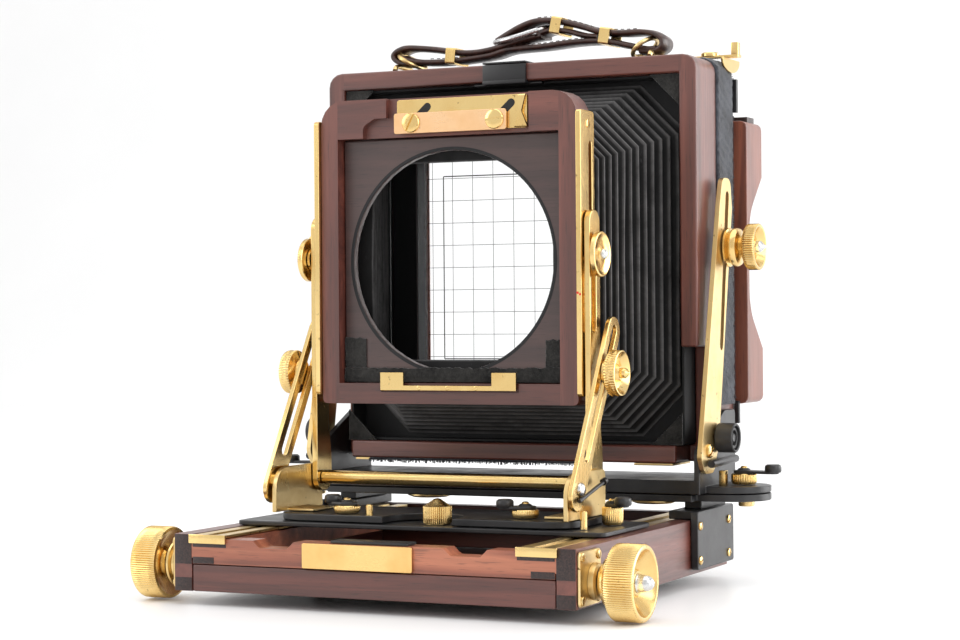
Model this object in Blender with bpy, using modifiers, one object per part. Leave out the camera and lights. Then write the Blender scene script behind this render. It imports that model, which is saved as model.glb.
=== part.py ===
"""Wooden folding field camera for 4 x 5 inch sheet film, standing open with no lens fitted.

Design coordinates are millimetres: X to the right seen from the front, Y back from the
ground glass, Z up from the underside of the bed. The empty "field_camera" carries them to
the world frame, whose origin is under the middle of the camera on the surface it stands on.
Each moving piece has its origin on its joint's axis.
"""

import math

import bmesh
import bpy
from mathutils import Matrix, Vector

MM = 0.001
GAP = 0.3  # running clearance between neighbouring pieces

# Driving dimensions, mm
BED_HALF_WIDTH = 83.5
BED_FRONT, BED_REAR = -179.0, -15.0
BED_HEIGHT = 21.8
RAIL_INNER = 75.8  # inner face of the bed's side rails
TONGUE_INNER, TONGUE_HALF_WIDTH = 60.0, 78.8
TONGUE_Z = (12.8, 18.0)
PLATE_THICKNESS = 5.5  # tripod plate, which also keeps the focusing knobs off the table

FOCUS_AXIS = (-165.0, 9.0)  # Y, Z
FOCUS_SHAFT_RADIUS = 2.0
PINION_RADIUS = 3.2

LENS_FRONT, LENS_BACK = -110.0, -97.0
LENS_HALF_WIDTH = 56.2
LENS_BOTTOM, LENS_TOP = 69.6, 192.0
BOARD_HALF_WIDTH, BOARD_Z = 48.6, (77.8, 176.4)  # seat for a 96 x 99 mm lens board
LENS_HOLE_RADIUS, LENS_HOLE_Z = 44.1, 126.6

UPRIGHT_X = (59.0, 61.4)  # inner and outer face, from the middle
AXLE_AXIS = (-105.0, 39.3)
TILT_AXIS = (-106.0, 128.0)
STRUT_KNOB_AXIS = (-107.5, 82.2)
STRUT_PIVOT = (-134.0, 39.3)
SWING_CENTRE = (0.0, -116.0)
SWING_PLATE_Z = (24.2, 27.0)

REAR_HALF_WIDTH, REAR_WALL = 84.4, 7.5
REAR_FRONT, REAR_BACK = -52.0, -7.9
REAR_TOP, REAR_BOTTOM = 210.2, 44.0
FOOT_RAIL_HALF, FOOT_RAIL_TOP = 74.5, 51.2
STILE_FOOT, STILE_SETBACK = 91.4, -35.0
REAR_PIVOT = (-45.0, 54.5)
REAR_STRUT_PIVOT = (-55.5, 49.7)
REAR_STRUT_KNOB = (-31.0, 132.0)
REAR_SWING_CENTRE = (0.0, -36.5)
REAR_WING_CENTRE, REAR_WING_WIDTH = (94.5, -37.0), 30.0
REAR_BASE_Z = (29.0, 31.9)
YOKE_BOTTOM, YOKE_WING_TOP, YOKE_TOP = 32.2, 35.0, 37.8

GLASS_Z = 126.5
FILM_FRAME_HALF = (90.0, 59.7)
FILM_FRAME_Y = (-5.0, 15.7)
NAME_PLATE_THICKNESS = 0.9

Y_CENTRE = (BED_FRONT - GAP - NAME_PLATE_THICKNESS + FILM_FRAME_Y[1]) / 2

WOOD = (0.26, 0.075, 0.05)
RED_WOOD = (0.36, 0.09, 0.055)
BRASS = (0.83, 0.62, 0.25)
BLACK = (0.02, 0.02, 0.022)
LEATHER = (0.12, 0.055, 0.04)


# ---------------------------------------------------------------- scene and helpers


def clear_scene():
    for obj in list(bpy.data.objects):
        bpy.data.objects.remove(obj, do_unlink=True)


def collection(name):
    made = bpy.data.collections.new(name)
    bpy.context.scene.collection.children.link(made)
    return made


def material(name, colour, roughness, metallic=0.0, alpha=1.0):
    made = bpy.data.materials.new(name)
    made.use_nodes = True
    shader = made.node_tree.nodes["Principled BSDF"]
    shader.inputs["Base Color"].default_value = (*colour, 1.0)
    shader.inputs["Roughness"].default_value = roughness
    shader.inputs["Metallic"].default_value = metallic
    shader.inputs["Alpha"].default_value = alpha
    return made


def wood(name):
    return material(name + "_wood", WOOD, 0.45)


def brass(name):
    return material(name + "_brass", BRASS, 0.3, 1.0)


def black_metal(name):
    return material(name + "_black", BLACK, 0.5, 0.3)


def finish(obj, finish_material, pivot=None):
    """Parents a part to the camera, with its material and its origin on its joint's axis."""
    if pivot is not None and not obj.rotation_euler.x and not obj.rotation_euler.y:
        shift = Vector(pivot) * MM - obj.location
        obj.data.transform(Matrix.Translation(-shift))
        obj.location += shift
    obj.data.materials.append(finish_material)
    obj.parent = ROOT
    return obj


def mesh_object(name, bm):
    mesh = bpy.data.meshes.new(name)
    bm.to_mesh(mesh)
    bm.free()
    obj = bpy.data.objects.new(name, mesh)
    PARTS.objects.link(obj)
    return obj


def box(name, x, y, z):
    """A block between two values on each axis."""
    bm = bmesh.new()
    bmesh.ops.create_cube(bm, size=1.0)
    lows = [min(pair) * MM for pair in (x, y, z)]
    sizes = [abs(pair[1] - pair[0]) * MM for pair in (x, y, z)]
    for vert in bm.verts:
        vert.co = Vector(low + size * (c + 0.5) for low, size, c in zip(lows, sizes, vert.co))
    return mesh_object(name, bm)


def rod(name, centre, radius, span, axis, sides=24):
    """A straight round bar along X, Y or Z between two values on that axis."""
    bm = bmesh.new()
    low, high = sorted(span)
    bmesh.ops.create_cone(
        bm, cap_ends=True, segments=sides, radius1=radius * MM, radius2=radius * MM,
        depth=(high - low) * MM,
    )
    turn = {"X": Matrix.Rotation(math.pi / 2, 4, "Y"), "Y": Matrix.Rotation(math.pi / 2, 4, "X"),
            "Z": Matrix.Identity(4)}[axis]
    middle = (low + high) / 2
    place = {"X": (middle, *centre), "Y": (centre[0], middle, centre[1]),
             "Z": (*centre, middle)}[axis]
    bm.transform(Matrix.Translation(Vector(place) * MM) @ turn)
    return mesh_object(name, bm)


def arc(centre, radius, start, end, steps):
    """Points on an arc, angles in degrees."""
    angles = (math.radians(start + (end - start) * i / steps) for i in range(steps + 1))
    return [(centre[0] + radius * math.cos(a), centre[1] + radius * math.sin(a)) for a in angles]


def rounded(points, radii, steps=4):
    """The outline with each corner rounded. radii is one radius, or one for each corner."""
    if not isinstance(radii, (list, tuple)):
        radii = [radii] * len(points)
    made = []
    for i, radius in enumerate(radii):
        corner = Vector(points[i])
        before = (Vector(points[i - 1]) - corner).normalized()
        after = (Vector(points[(i + 1) % len(points)]) - corner).normalized()
        if radius <= 0:
            made.append(tuple(corner))
            continue
        half = before.angle(after) / 2
        centre = corner + (before + after).normalized() * radius / math.sin(half)
        first = corner + before * radius / math.tan(half) - centre
        last = corner + after * radius / math.tan(half) - centre
        turn = first.angle_signed(last)
        for k in range(steps + 1):
            made.append(tuple(centre + Matrix.Rotation(-turn * k / steps, 2) @ first))
    return made


def rectangle(x, y):
    return [(x[0], y[0]), (x[1], y[0]), (x[1], y[1]), (x[0], y[1])]


def slot(start, end, width, steps=6):
    """The outline of a straight slot or bar with round ends, from centre to centre."""
    heading = math.degrees(math.atan2(end[1] - start[1], end[0] - start[0]))
    return (arc(end, width / 2, heading - 90, heading + 90, steps)
            + arc(start, width / 2, heading + 90, heading + 270, steps))


def face_outwards(bm):
    bmesh.ops.recalc_face_normals(bm, faces=bm.faces)
    if bm.calc_volume(signed=True) < 0:
        bmesh.ops.reverse_faces(bm, faces=bm.faces)


def prism(name, outline, axis, span):
    """A flat outline extruded along an axis: (Y, Z) points for X, (X, Z) for Y, (X, Y) for Z."""
    low, high = sorted(span)
    curve = bpy.data.curves.new(name, "CURVE")
    curve.dimensions = "2D"
    curve.fill_mode = "BOTH"
    curve.extrude = (high - low) / 2 * MM
    spline = curve.splines.new("POLY")
    spline.points.add(len(outline) - 1)
    for point, (u, v) in zip(spline.points, outline):
        point.co = (u * MM, v * MM, 0.0, 1.0)
    spline.use_cyclic_u = True
    sketch = bpy.data.objects.new(name + "_sketch", curve)
    bpy.context.scene.collection.objects.link(sketch)
    evaluated = sketch.evaluated_get(bpy.context.evaluated_depsgraph_get())
    mesh = bpy.data.meshes.new_from_object(evaluated)
    bpy.data.objects.remove(sketch)
    bm = bmesh.new()
    bm.from_mesh(mesh)
    bpy.data.meshes.remove(mesh)
    bmesh.ops.remove_doubles(bm, verts=bm.verts, dist=0.00001)
    middle = (low + high) / 2 * MM
    along_x = Matrix(((0, 0, 1, middle), (1, 0, 0, 0), (0, 1, 0, 0), (0, 0, 0, 1)))
    along_y = Matrix(((1, 0, 0, 0), (0, 0, -1, middle), (0, 1, 0, 0), (0, 0, 0, 1)))
    bm.transform({"X": along_x, "Y": along_y, "Z": Matrix.Translation((0, 0, middle))}[axis])
    face_outwards(bm)
    return mesh_object(name, bm)


def turned(name, profile, centre, side, steps=32):
    """A lathe-turned piece on an X axis. profile is (radius, distance outwards) down its outer side."""
    bm = bmesh.new()
    verts = [bm.verts.new((r * MM, 0.0, t * MM)) for r, t in profile]
    for first, second in zip(verts, verts[1:]):
        bm.edges.new((first, second))
    obj = mesh_object(name, bm)
    obj.location = Vector(centre) * MM
    obj.rotation_euler = (0.0, math.radians(90.0 * side), 0.0)
    screw = obj.modifiers.new("turn", "SCREW")
    screw.steps = screw.render_steps = steps
    screw.use_merge_vertices = True
    screw.merge_threshold = 0.00001
    screw.use_smooth_shade = True
    return obj


def combine(obj, other, operation):
    other.hide_render = True
    other.display_type = "WIRE"
    for group in list(other.users_collection):
        group.objects.unlink(other)
    CUTTERS.objects.link(other)
    other.parent = ROOT
    modifier = obj.modifiers.new(operation.lower(), "BOOLEAN")
    modifier.operation = operation
    modifier.object = other
    return obj


def cut(obj, *tools):
    for tool in tools:
        combine(obj, tool, "DIFFERENCE")
    return obj


def join(obj, *others):
    for other in others:
        combine(obj, other, "UNION")
    return obj


def span(side, inner, outer):
    """The X values of a piece on one side of the camera: side is 1 on the right, -1 on the left."""
    return tuple(sorted((side * inner, side * outer)))


def side_name(side):
    return "right" if side > 0 else "left"


SIDES = (1, -1)


# ---------------------------------------------------------------- bed


def bed():
    """The wooden tray: side rails grooved for the extension, front rail, rear rail and floor."""
    for side in SIDES:
        name = "bed_side_" + side_name(side)
        rail = box(name, span(side, RAIL_INNER, BED_HALF_WIDTH), (BED_FRONT, BED_REAR), (0, BED_HEIGHT))
        groove = box("groove_" + name, span(side, RAIL_INNER - 1, TONGUE_HALF_WIDTH + GAP),
                     (BED_FRONT - 1, BED_REAR - 8), (TONGUE_Z[0] - GAP, TONGUE_Z[1] + GAP))
        bore = rod("bore_" + name, FOCUS_AXIS, FOCUS_SHAFT_RADIUS + GAP, (side * 70, side * 90), "X")
        finish(cut(rail, groove, bore), wood(name))
    inner = RAIL_INNER - GAP
    finish(box("bed_front_rail", (-inner, inner), (BED_FRONT, -170), (0, 10.3)), wood("bed_front_rail"))
    finish(box("bed_rear_rail", (-inner, inner), (BED_REAR - 7, BED_REAR), (3.3, BED_HEIGHT)),
           wood("bed_rear_rail"))
    finish(box("bed_floor", (-inner, inner), (-169.7, BED_REAR), (0, 3)), wood("bed_floor"))


def tripod_plate():
    """The black plate under the bed that takes a tripod screw. The camera stands on it."""
    outline = rounded(rectangle((-48, 48), (-140, -36)), 8)
    plate = prism("tripod_plate", outline, "Z", (-PLATE_THICKNESS, -GAP))
    finish(plate, black_metal("tripod_plate"))


def side_plates():
    """Black plates screwed to the rear ends of the bed's sides."""
    for side in SIDES:
        name = "side_plate_" + side_name(side)
        outline = rounded(rectangle((-60.6, -16.3), (2.1, 25.7)), 1.2, 2)
        plate = prism(name, outline, "X", span(side, BED_HALF_WIDTH + GAP, 87))
        finish(plate, black_metal(name))


def rear_wings(name, span_z):
    """A straight plate across the camera that ends in a round wing on each side."""
    x, y = REAR_WING_CENTRE
    return prism(name, slot((-x, y), (x, y), REAR_WING_WIDTH, 8), "Z", span_z)


def rear_base_plate():
    """The fixed black bridge over the bed's rear end, with a round wing on each side."""
    block = box("rear_base_plate", (-83.4, 83.4), (-58, -16), REAR_BASE_Z)
    legs = [box(f"rear_base_leg_{side_name(s)}", span(s, 76, 83.4), (-46, -16), (24, REAR_BASE_Z[0] + 1))
            for s in SIDES]
    legs += [box(f"rear_base_foot_{side_name(s)}", span(s, 73.5, 83.4), (-58, -16), (BED_HEIGHT + GAP, 25.5))
             for s in SIDES]
    bridge = join(block, rear_wings("rear_base_wings", REAR_BASE_Z), *legs)
    finish(bridge, black_metal("rear_base_plate"))


# ---------------------------------------------------------------- focusing drive


def focus_drive():
    """The cross shaft with its two pinions, and a large knurled knob on each end."""
    shaft = rod("focus_shaft", FOCUS_AXIS, FOCUS_SHAFT_RADIUS, (-88, 88), "X", 16)
    pinions = [rod(f"pinion_{side_name(s)}", FOCUS_AXIS, PINION_RADIUS, (s * 63, s * 71), "X", 16)
               for s in SIDES]
    pivot = (0, *FOCUS_AXIS)
    finish(join(shaft, *pinions), brass("focus_shaft"), pivot)
    profile = [(0, 19.3), (2.6, 18.2), (3.3, 15.6), (4.6, 15.4), (5.4, 12.2), (9.5, 12.4), (12.2, 16.2),
               (13.4, 16.2), (14, 15.6), (14, 5.4), (13.4, 4.7), (11.5, 4.7), (8, 6.6), (6.2, 6.6),
               (6.2, 2.4), (5.4, 2.2), (5.4, 0), (0, 0)]
    for side in SIDES:
        name = "focus_knob_" + side_name(side)
        finish(turned(name, profile, (side * 88.3, *FOCUS_AXIS), side), brass(name))


# ---------------------------------------------------------------- extension


def extension_frame():
    """The sliding frame: tongues in the bed's grooves, a front rail and a rear rail."""
    tongues = box("extension_frame", (-TONGUE_HALF_WIDTH, TONGUE_HALF_WIDTH), (BED_FRONT, -25), TONGUE_Z)
    well = box("extension_well", (-TONGUE_INNER, TONGUE_INNER), (-169, -33), (0, 30))
    front = box("extension_front", (-75.4, 75.4), (BED_FRONT, -169.4), (10.6, 20.2))
    tops = [box(f"extension_top_{side_name(s)}", span(s, TONGUE_INNER, 75.4), (-170, -25), (17, 20.2))
            for s in SIDES]
    notches = [prism(f"extension_notch_{side_name(s)}", notch_outline(s), "Y", (-190, -160)) for s in SIDES]
    frame = cut(join(tongues, front, *tops), well, *notches)
    finish(frame, material("extension_wood", RED_WOOD, 0.45), (0, BED_FRONT, 0))


def notch_outline(side):
    """A shallow finger scallop in the top of the front rail."""
    points = [(31, 21.5), (31, 20.4), (34, 17.4), (46, 17.4), (49, 20.4), (49, 21.5)]
    return rounded([(side * x, z) for x, z in points], [0, 0, 2, 2, 0, 0], 3)


def tracks():
    """Brass tracks on the extension, each with a groove that guides the front standard."""
    for side in SIDES:
        name = "track_" + side_name(side)
        track = box(name, span(side, 61, 75), (BED_FRONT - 0.2, -25.2), (20.5, 21.7))
        groove = box("groove_" + name, span(side, 66, 70), (-200, -10), (20.9, 22))
        finish(cut(track, groove), brass(name), (0, BED_FRONT, 0))


def racks():
    """Brass racks under the extension's side rails, over the pinions."""
    for side in SIDES:
        name = "rack_" + side_name(side)
        finish(box(name, span(side, 62, 72), (-168.8, -34), (12.25, 12.5)), brass(name))


def name_plate():
    """A plain brass plate on the extension's front rail."""
    outline = rounded(rectangle((-27, 19), (10.7, 20.1)), 0.6, 2)
    front = BED_FRONT - GAP - NAME_PLATE_THICKNESS
    finish(prism("name_plate", outline, "Y", (front, BED_FRONT - GAP)), brass("name_plate"))


# ---------------------------------------------------------------- front standard


def front_carriage():
    """The black plate that slides along the tracks, and the knurled knob that locks its swing."""
    plate = prism("front_base_plate", rounded(rectangle((-79, 79), (-141, -92)), 3), "Z", (22.1, 23.9))
    finish(plate, black_metal("front_base_plate"))
    profile = [(0, 10), (1.4, 9.6), (4.6, 8.2), (5.6, 7), (5.6, 3.4), (4.8, 2.8), (4.8, 0), (0, 0)]
    knob = turned("swing_lock_knob", profile, (5.5, -131, SWING_PLATE_Z[0]), 0)
    finish(knob, brass("swing_lock_knob"))


def lever(name, boss, grip, height, nut_radius=5.2):
    """A flat lock lever on a tall round nut, with a small round grip. boss and grip are X, Y, Z."""
    base, top = boss[2], boss[2] + height
    nut = rod(name, boss[:2], nut_radius, (base, top - 3), "Z", 24)
    arm = prism("arm_" + name, slot(boss[:2], grip, 6, 4), "Z", (top - 4.2, top - 2.6))
    grip_rod = rod("grip_" + name, grip, 3.4, (top - 4, top), "Z", 20)
    finish(join(nut, arm, grip_rod), black_metal(name), boss)


def levers():
    on_swing_plate, on_wing = SWING_PLATE_Z[1] + GAP, YOKE_WING_TOP + GAP
    lever("carriage_lever", (70.4, -111, SWING_PLATE_Z[0]), (76, -114.5), 11, 4.1)
    lever("swing_lever_right", (41, -127, on_swing_plate), (34, -130.5), 7.2)
    lever("swing_lever_left", (-34.3, -130.6, on_swing_plate), (-41.5, -129), 7)
    lever("rear_lever_right", (98.5, -37, on_wing), (111.5, -39), 8.4)
    lever("rear_lever_left", (-98.5, -37, on_wing), (-111.5, -39), 8.4)


def swing_plate():
    """The plate that turns on the carriage, hollowed at the front round the lock knob."""
    hollow = arc((0, -131), 15, 180, 0, 10)
    corners = rounded(rectangle((-64.8, 64.8), (-138, -95)), 13, 4)
    outline = [(-15, -138)] + hollow + [(15, -138)] + corners[5:] + corners[:5]
    plate = prism("front_swing_plate", outline, "Z", SWING_PLATE_Z)
    finish(plate, black_metal("front_swing_plate"), (*SWING_CENTRE, SWING_PLATE_Z[0]))


def front_brackets():
    """Brass angle brackets that carry the uprights' axle and the struts' pivots."""
    outline = rounded([(-139, 27.3), (-101, 27.3), (-101, 45), (-139, 45)], [0, 0, 3, 9], 5)
    for side in SIDES:
        name = "front_bracket_" + side_name(side)
        web = prism(name, outline, "X", span(side, 61.7, 63.6))
        foot = box("foot_" + name, span(side, 50, 62.6), (-130, -112), (27.3, 28.3))
        finish(join(web, foot), brass(name))


def uprights():
    """Brass uprights, slotted for the tilt studs, with the tube that ties them across."""
    outline = rounded([(-110.1, 33.8), (-98, 33.8), (-98, 48), (-99.7, 60), (-99.7, 145.4), (-110.1, 145.4)],
                      [5, 5, 4, 6, 5.1, 5.1], 5)
    pivot = (0, *AXLE_AXIS)
    for side in SIDES:
        name = "front_upright_" + side_name(side)
        plate = prism(name, outline, "X", span(side, *UPRIGHT_X))
        window = prism("slot_" + name, slot((TILT_AXIS[0], 100), TILT_AXIS, 4.4), "X", span(side, 50, 70))
        finish(cut(plate, window), brass(name), pivot)
    tube = rod("front_cross_axle", AXLE_AXIS, 2.75, (-UPRIGHT_X[0] + GAP, UPRIGHT_X[0] - GAP), "X", 20)
    finish(tube, brass("front_cross_axle"), pivot)


def front_struts():
    """Slotted brass struts from the brackets up to the strut knobs."""
    pivot = Vector(STRUT_PIVOT)
    heading = (Vector(STRUT_KNOB_AXIS) - pivot).normalized()
    foot, head, slot_start, slot_end = (tuple(pivot + heading * reach) for reach in (-3, 69, 14, 69.5))
    for side in SIDES:
        name = "front_strut_" + side_name(side)
        strut = prism(name, slot(foot, head, 12, 8), "X", span(side, 64.6, 66.4))
        window = prism("slot_" + name, slot(slot_start, slot_end, 4.4), "X", span(side, 60, 75))
        finish(cut(strut, window), brass(name), (0, *STRUT_PIVOT))


def front_knobs():
    """The strut knobs and the tilt knobs, with the studs that the tilt knobs turn on."""
    strut_profile = [(0, 10), (1.9, 8.4), (2.5, 4.8), (5.8, 4.2), (7.8, 6.6), (8.6, 6.6), (9, 6.2),
                     (9, 2.4), (8.4, 1.8), (5.2, 0.8), (5.2, 0), (0, 0)]
    tilt_profile = [(0, 4.2), (1.6, 3.4), (2.2, 1.6), (5.8, 1.3), (7.8, 2.2), (8.6, 2.2), (9, 1.9),
                    (9, 0.4), (8.6, 0), (0, 0)]
    for side in SIDES:
        name = side_name(side)
        knob = turned("strut_knob_" + name, strut_profile, (side * 66.7, *STRUT_KNOB_AXIS), side)
        finish(knob, brass("strut_knob_" + name))
        knob = turned("tilt_knob_" + name, tilt_profile, (side * 63.0, *TILT_AXIS), side)
        finish(knob, brass("tilt_knob_" + name))
        stud = rod("tilt_stud_" + name, TILT_AXIS, 1.9, (side * 58.9, side * 62.2), "X", 16)
        collar = rod("collar_" + name, TILT_AXIS, 4.8, (side * 61.7, side * 62.7), "X", 24)
        finish(join(stud, collar), brass("tilt_stud_" + name))


def lens_frame():
    """The wooden lens frame, with the seat for the lens board and the pocket for its lock."""
    outline = rounded(rectangle((-LENS_HALF_WIDTH, LENS_HALF_WIDTH), (LENS_BOTTOM, LENS_TOP)),
                      [2, 2, 10, 10], 5)
    frame = prism("lens_frame", outline, "Y", (LENS_FRONT, LENS_BACK))
    seat = box("lens_board_seat", (-BOARD_HALF_WIDTH, BOARD_HALF_WIDTH), (LENS_FRONT - 5, LENS_BACK + 5),
               BOARD_Z)
    edge = rounded([(-37, 170), (-37, 181.2), (-31.8, 184.2), (-26.4, 184.2), (-26.4, 200), (36, 200),
                    (36, 170)], [0, 3, 2, 0, 0, 0, 0], 3)
    pocket = prism("lock_pocket", edge, "Y", (LENS_FRONT - 5, LENS_FRONT + 2.6))
    notch = box("lens_frame_step", (-29.6, 31), (LENS_FRONT - 5, LENS_FRONT + 1.5), (74.4, 79))
    finish(cut(frame, seat, pocket, notch), wood("lens_frame"), (0, *TILT_AXIS))


def lens_panel():
    """The wooden panel behind the lens board's seat, with the round opening for the lens."""
    half = BOARD_HALF_WIDTH - GAP
    panel = box("lens_panel", (-half, half), (-105, -101.5), (BOARD_Z[0] + GAP, BOARD_Z[1] - GAP))
    hole = rod("lens_hole", (0, LENS_HOLE_Z), LENS_HOLE_RADIUS, (-120, -90), "Y", 48)
    finish(cut(panel, hole), wood("lens_panel"), (0, *TILT_AXIS))


def side_strips():
    """Slotted brass strips on the lens frame's sides."""
    outline = rounded(rectangle((-112, -98), (73, 184)), 1.5, 3)
    for side in SIDES:
        name = "side_strip_" + side_name(side)
        strip = prism(name, outline, "X", span(side, LENS_HALF_WIDTH + 0.2, 58.6))
        window = prism("slot_" + name, slot((-102, 82), (-102, 170.5), 3.2), "X", span(side, 50, 70))
        finish(cut(strip, window), brass(name), (0, *TILT_AXIS))


def board_rest():
    """The brass strip that holds the foot of the lens board, with a lip at each end."""
    points = [(-29.3, 75), (30.3, 75), (30.3, 82.2), (19.8, 82.2), (19.8, 77), (-19, 77), (-19, 82.2),
              (-29.3, 82.2)]
    finish(prism("board_rest", points, "Y", (-111.4, -110.3)), brass("board_rest"), (0, *TILT_AXIS))


def board_lock():
    """The sliding plate that locks the lens board, and the plate that covers it."""
    points = [(-21.9, 178), (35.1, 178), (35.1, 191.2), (-21.9, 191.2)]
    slide = prism("lock_slide", rounded(points, 1, 2), "Y", (-109.3, -107.8))
    finish(slide, brass("lock_slide"))
    cover = prism("lock_cover", rounded(rectangle((-22.4, 26.8), (177.5, 185.7)), 0.8, 2), "Y",
                  (-111.2, -109.6))
    finish(cover, material("lock_cover_brass", (0.86, 0.55, 0.33), 0.3, 1.0), (0, *TILT_AXIS))


def bellows():
    """The leather bellows as one tapered tube, open at both ends."""
    bm = bmesh.new()
    shapes = ((-96.6, 46.5, 80.5, 173.0), (-35.6, 74.5, 54.0, 200.0))
    rings = []
    for wall in (0.0, 1.6):
        for y, half, low, high in shapes:
            corners = rectangle((-half + wall, half - wall), (low + wall, high - wall))
            points = rounded(corners, 9 - wall, 2)
            rings.append([bm.verts.new((x * MM, y * MM, z * MM)) for x, z in points])
    front_out, back_out, front_in, back_in = rings
    for a, b in ((front_out, back_out), (back_out, back_in), (back_in, front_in), (front_in, front_out)):
        for i in range(len(a)):
            j = (i + 1) % len(a)
            bm.faces.new((a[i], a[j], b[j], b[i]))
    face_outwards(bm)
    finish(mesh_object("bellows", bm), material("bellows_leather", BLACK, 0.7))


# ---------------------------------------------------------------- rear standard


def rear_yoke():
    """The black U that swings on the base plate and carries the rear frame's pivots."""
    floor = box("rear_yoke", (-87.2, 87.2), (-59, -14), (YOKE_BOTTOM, YOKE_TOP))
    outline = rounded([(-59, YOKE_BOTTOM), (-14, YOKE_BOTTOM), (-14, 65), (-27, 65), (-59, 50)],
                      [0, 0, 2, 3, 3], 3)
    webs = [prism(f"rear_yoke_{side_name(s)}", outline, "X", span(s, 84.7, 87.2)) for s in SIDES]
    wings = rear_wings("rear_yoke_wings", (YOKE_BOTTOM, YOKE_WING_TOP))
    finish(join(floor, wings, *webs), black_metal("rear_yoke"), (*REAR_SWING_CENTRE, YOKE_BOTTOM))


def rear_struts():
    """Broad brass struts, each with a long slot for the knob that locks the rear tilt."""
    outline = rounded([(-64.5, 47), (-60, 40.6), (-49, 40.6), (-43, 52), (-24.5, 148), (-26.5, 160.5),
                       (-36, 160.5), (-39.5, 150)], [4, 5, 5, 20, 6, 4, 4, 20], 4)
    for side in SIDES:
        name = "rear_strut_" + side_name(side)
        strut = prism(name, outline, "X", span(side, 88, 90))
        window = prism("slot_" + name, slot((-38.8, 92), (-30.4, 153), 4.2), "X", span(side, 80, 95))
        finish(cut(strut, window), brass(name), (0, *REAR_STRUT_PIVOT))


def rear_knobs():
    """The knobs that lock the rear struts, and the black knobs on the rear frame's pivots."""
    brass_profile = [(0, 16.8), (2.2, 15.2), (3, 11.4), (6, 10.6), (8, 13.6), (9, 13.6), (9.5, 13),
                     (9.5, 8.6), (8.8, 7.8), (4.6, 7.2), (4.6, 5.4), (7.8, 4.6), (7.8, 0), (0, 0)]
    black_profile = [(0, 7.6), (2.6, 7.6), (2.6, 6.6), (4.4, 6.6), (4.4, 7.8), (5.6, 7.8), (6, 7.4),
                     (6, 0.6), (5.4, 0), (0, 0)]
    for side in SIDES:
        name = "rear_strut_knob_" + side_name(side)
        finish(turned(name, brass_profile, (side * 90.4, *REAR_STRUT_KNOB), side), brass(name))
        name = "rear_pivot_knob_" + side_name(side)
        finish(turned(name, black_profile, (side * 90.4, *REAR_PIVOT), side, 24), black_metal(name))


def rear_frame():
    """The wooden rear frame: a deep shell with set-back stiles, and the rail across its foot."""
    outer = rounded(rectangle((-REAR_HALF_WIDTH, REAR_HALF_WIDTH), (REAR_BOTTOM, REAR_TOP)), [2, 2, 6, 6], 4)
    shell = prism("rear_frame", outer, "Y", (REAR_FRONT, REAR_BACK))
    half = REAR_HALF_WIDTH - REAR_WALL
    well = box("rear_frame_well", (-half, half), (REAR_FRONT - 5, REAR_BACK + 5),
               (FOOT_RAIL_TOP, REAR_TOP - REAR_WALL))
    setback = box("rear_frame_setback", (-100, 100), (REAR_FRONT - 5, STILE_SETBACK), (0, STILE_FOOT))
    rail = box("rear_foot_rail", (-FOOT_RAIL_HALF, FOOT_RAIL_HALF), (REAR_FRONT, STILE_SETBACK + 5),
               (REAR_BOTTOM, FOOT_RAIL_TOP))
    frame = join(cut(shell, well, setback), rail)
    finish(frame, wood("rear_frame"), (0, *REAR_PIVOT))


def back_frame():
    """The removable wooden back that carries the ground-glass frame."""
    board = prism("back_frame", rounded(rectangle((-REAR_HALF_WIDTH, REAR_HALF_WIDTH), (58, 207)), 4, 3),
                  "Y", (-7.6, -5.3))
    opening = box("back_opening", (-64, 64), (-20, 10), (GLASS_Z - 50.5, GLASS_Z + 50.5))
    finish(cut(board, opening), wood("back_frame"), (0, *REAR_PIVOT))


def finger_scallop(side):
    """The hollow along one side of the film frame, leaving a thin wall at its middle."""
    thin, deep = FILM_FRAME_Y[0] + 3.2, FILM_FRAME_Y[1]
    outline = [(deep + 3, GLASS_Z - 39.4), (thin, GLASS_Z - 19.5), (thin, GLASS_Z + 19.5),
               (deep + 3, GLASS_Z + 39.4)]
    return prism("finger_scallop", rounded(outline, [0, 20, 20, 0], 8), "X", span(side, 74, 100))


def film_frame():
    """The sprung frame that holds the ground glass, scalloped at the sides for the fingers."""
    half_x, half_z = FILM_FRAME_HALF
    outline = rounded(rectangle((-half_x, half_x), (GLASS_Z - half_z, GLASS_Z + half_z)), 3, 3)
    frame = prism("ground_glass_frame", outline, "Y", FILM_FRAME_Y)
    seat = box("glass_seat", (-64.3, 64.3), (-10, 3.5), (GLASS_Z - 51, GLASS_Z + 51))
    window = box("glass_window", (-63.4, 63.4), (-10, 30), (GLASS_Z - 48.5, GLASS_Z + 48.5))
    recess = box("holder_recess", (-71, 71), (4.5, 30), (GLASS_Z - 50, GLASS_Z + 50))
    frame = cut(frame, seat, window, recess, *[finger_scallop(side) for side in SIDES])
    finish(frame, wood("ground_glass_frame"), (0, *REAR_PIVOT))
    glass = box("ground_glass", (-64, 64), (0, 2), (GLASS_Z - 50.7, GLASS_Z + 50.7))
    finish(glass, material("ground_glass", (0.85, 0.87, 0.88), 0.4, 0.0, 0.5), (0, *REAR_PIVOT))


def back_latch():
    """The small brass latch on top that releases the back."""
    foot = box("back_latch", (62, 82), (-17, -9), (211.9, 213.6))
    finish(join(foot, box("latch_post", (72, 80), (-12, -9.5), (212, 219.5))), brass("back_latch"),
           (77, -13, 211.9))


def carrying_handle():
    """The leather strap, doubled back on itself, lying over the top of the rear frame."""
    top = [(63, 219), (58, 223), (30, 226), (6, 232.6), (-6, 232.6), (-16, 228), (-30, 219.5), (-60, 220.5),
           (-72, 219.5)]
    outline = [(-73, 216), (-68, 212.4), (55, 212.4), (63, 215)] + top
    strap = prism("carrying_handle", rounded(outline, 1.5, 2), "Y", (-30, -10))
    finish(strap, material("handle_leather", LEATHER, 0.5), (0, *REAR_PIVOT))


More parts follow.
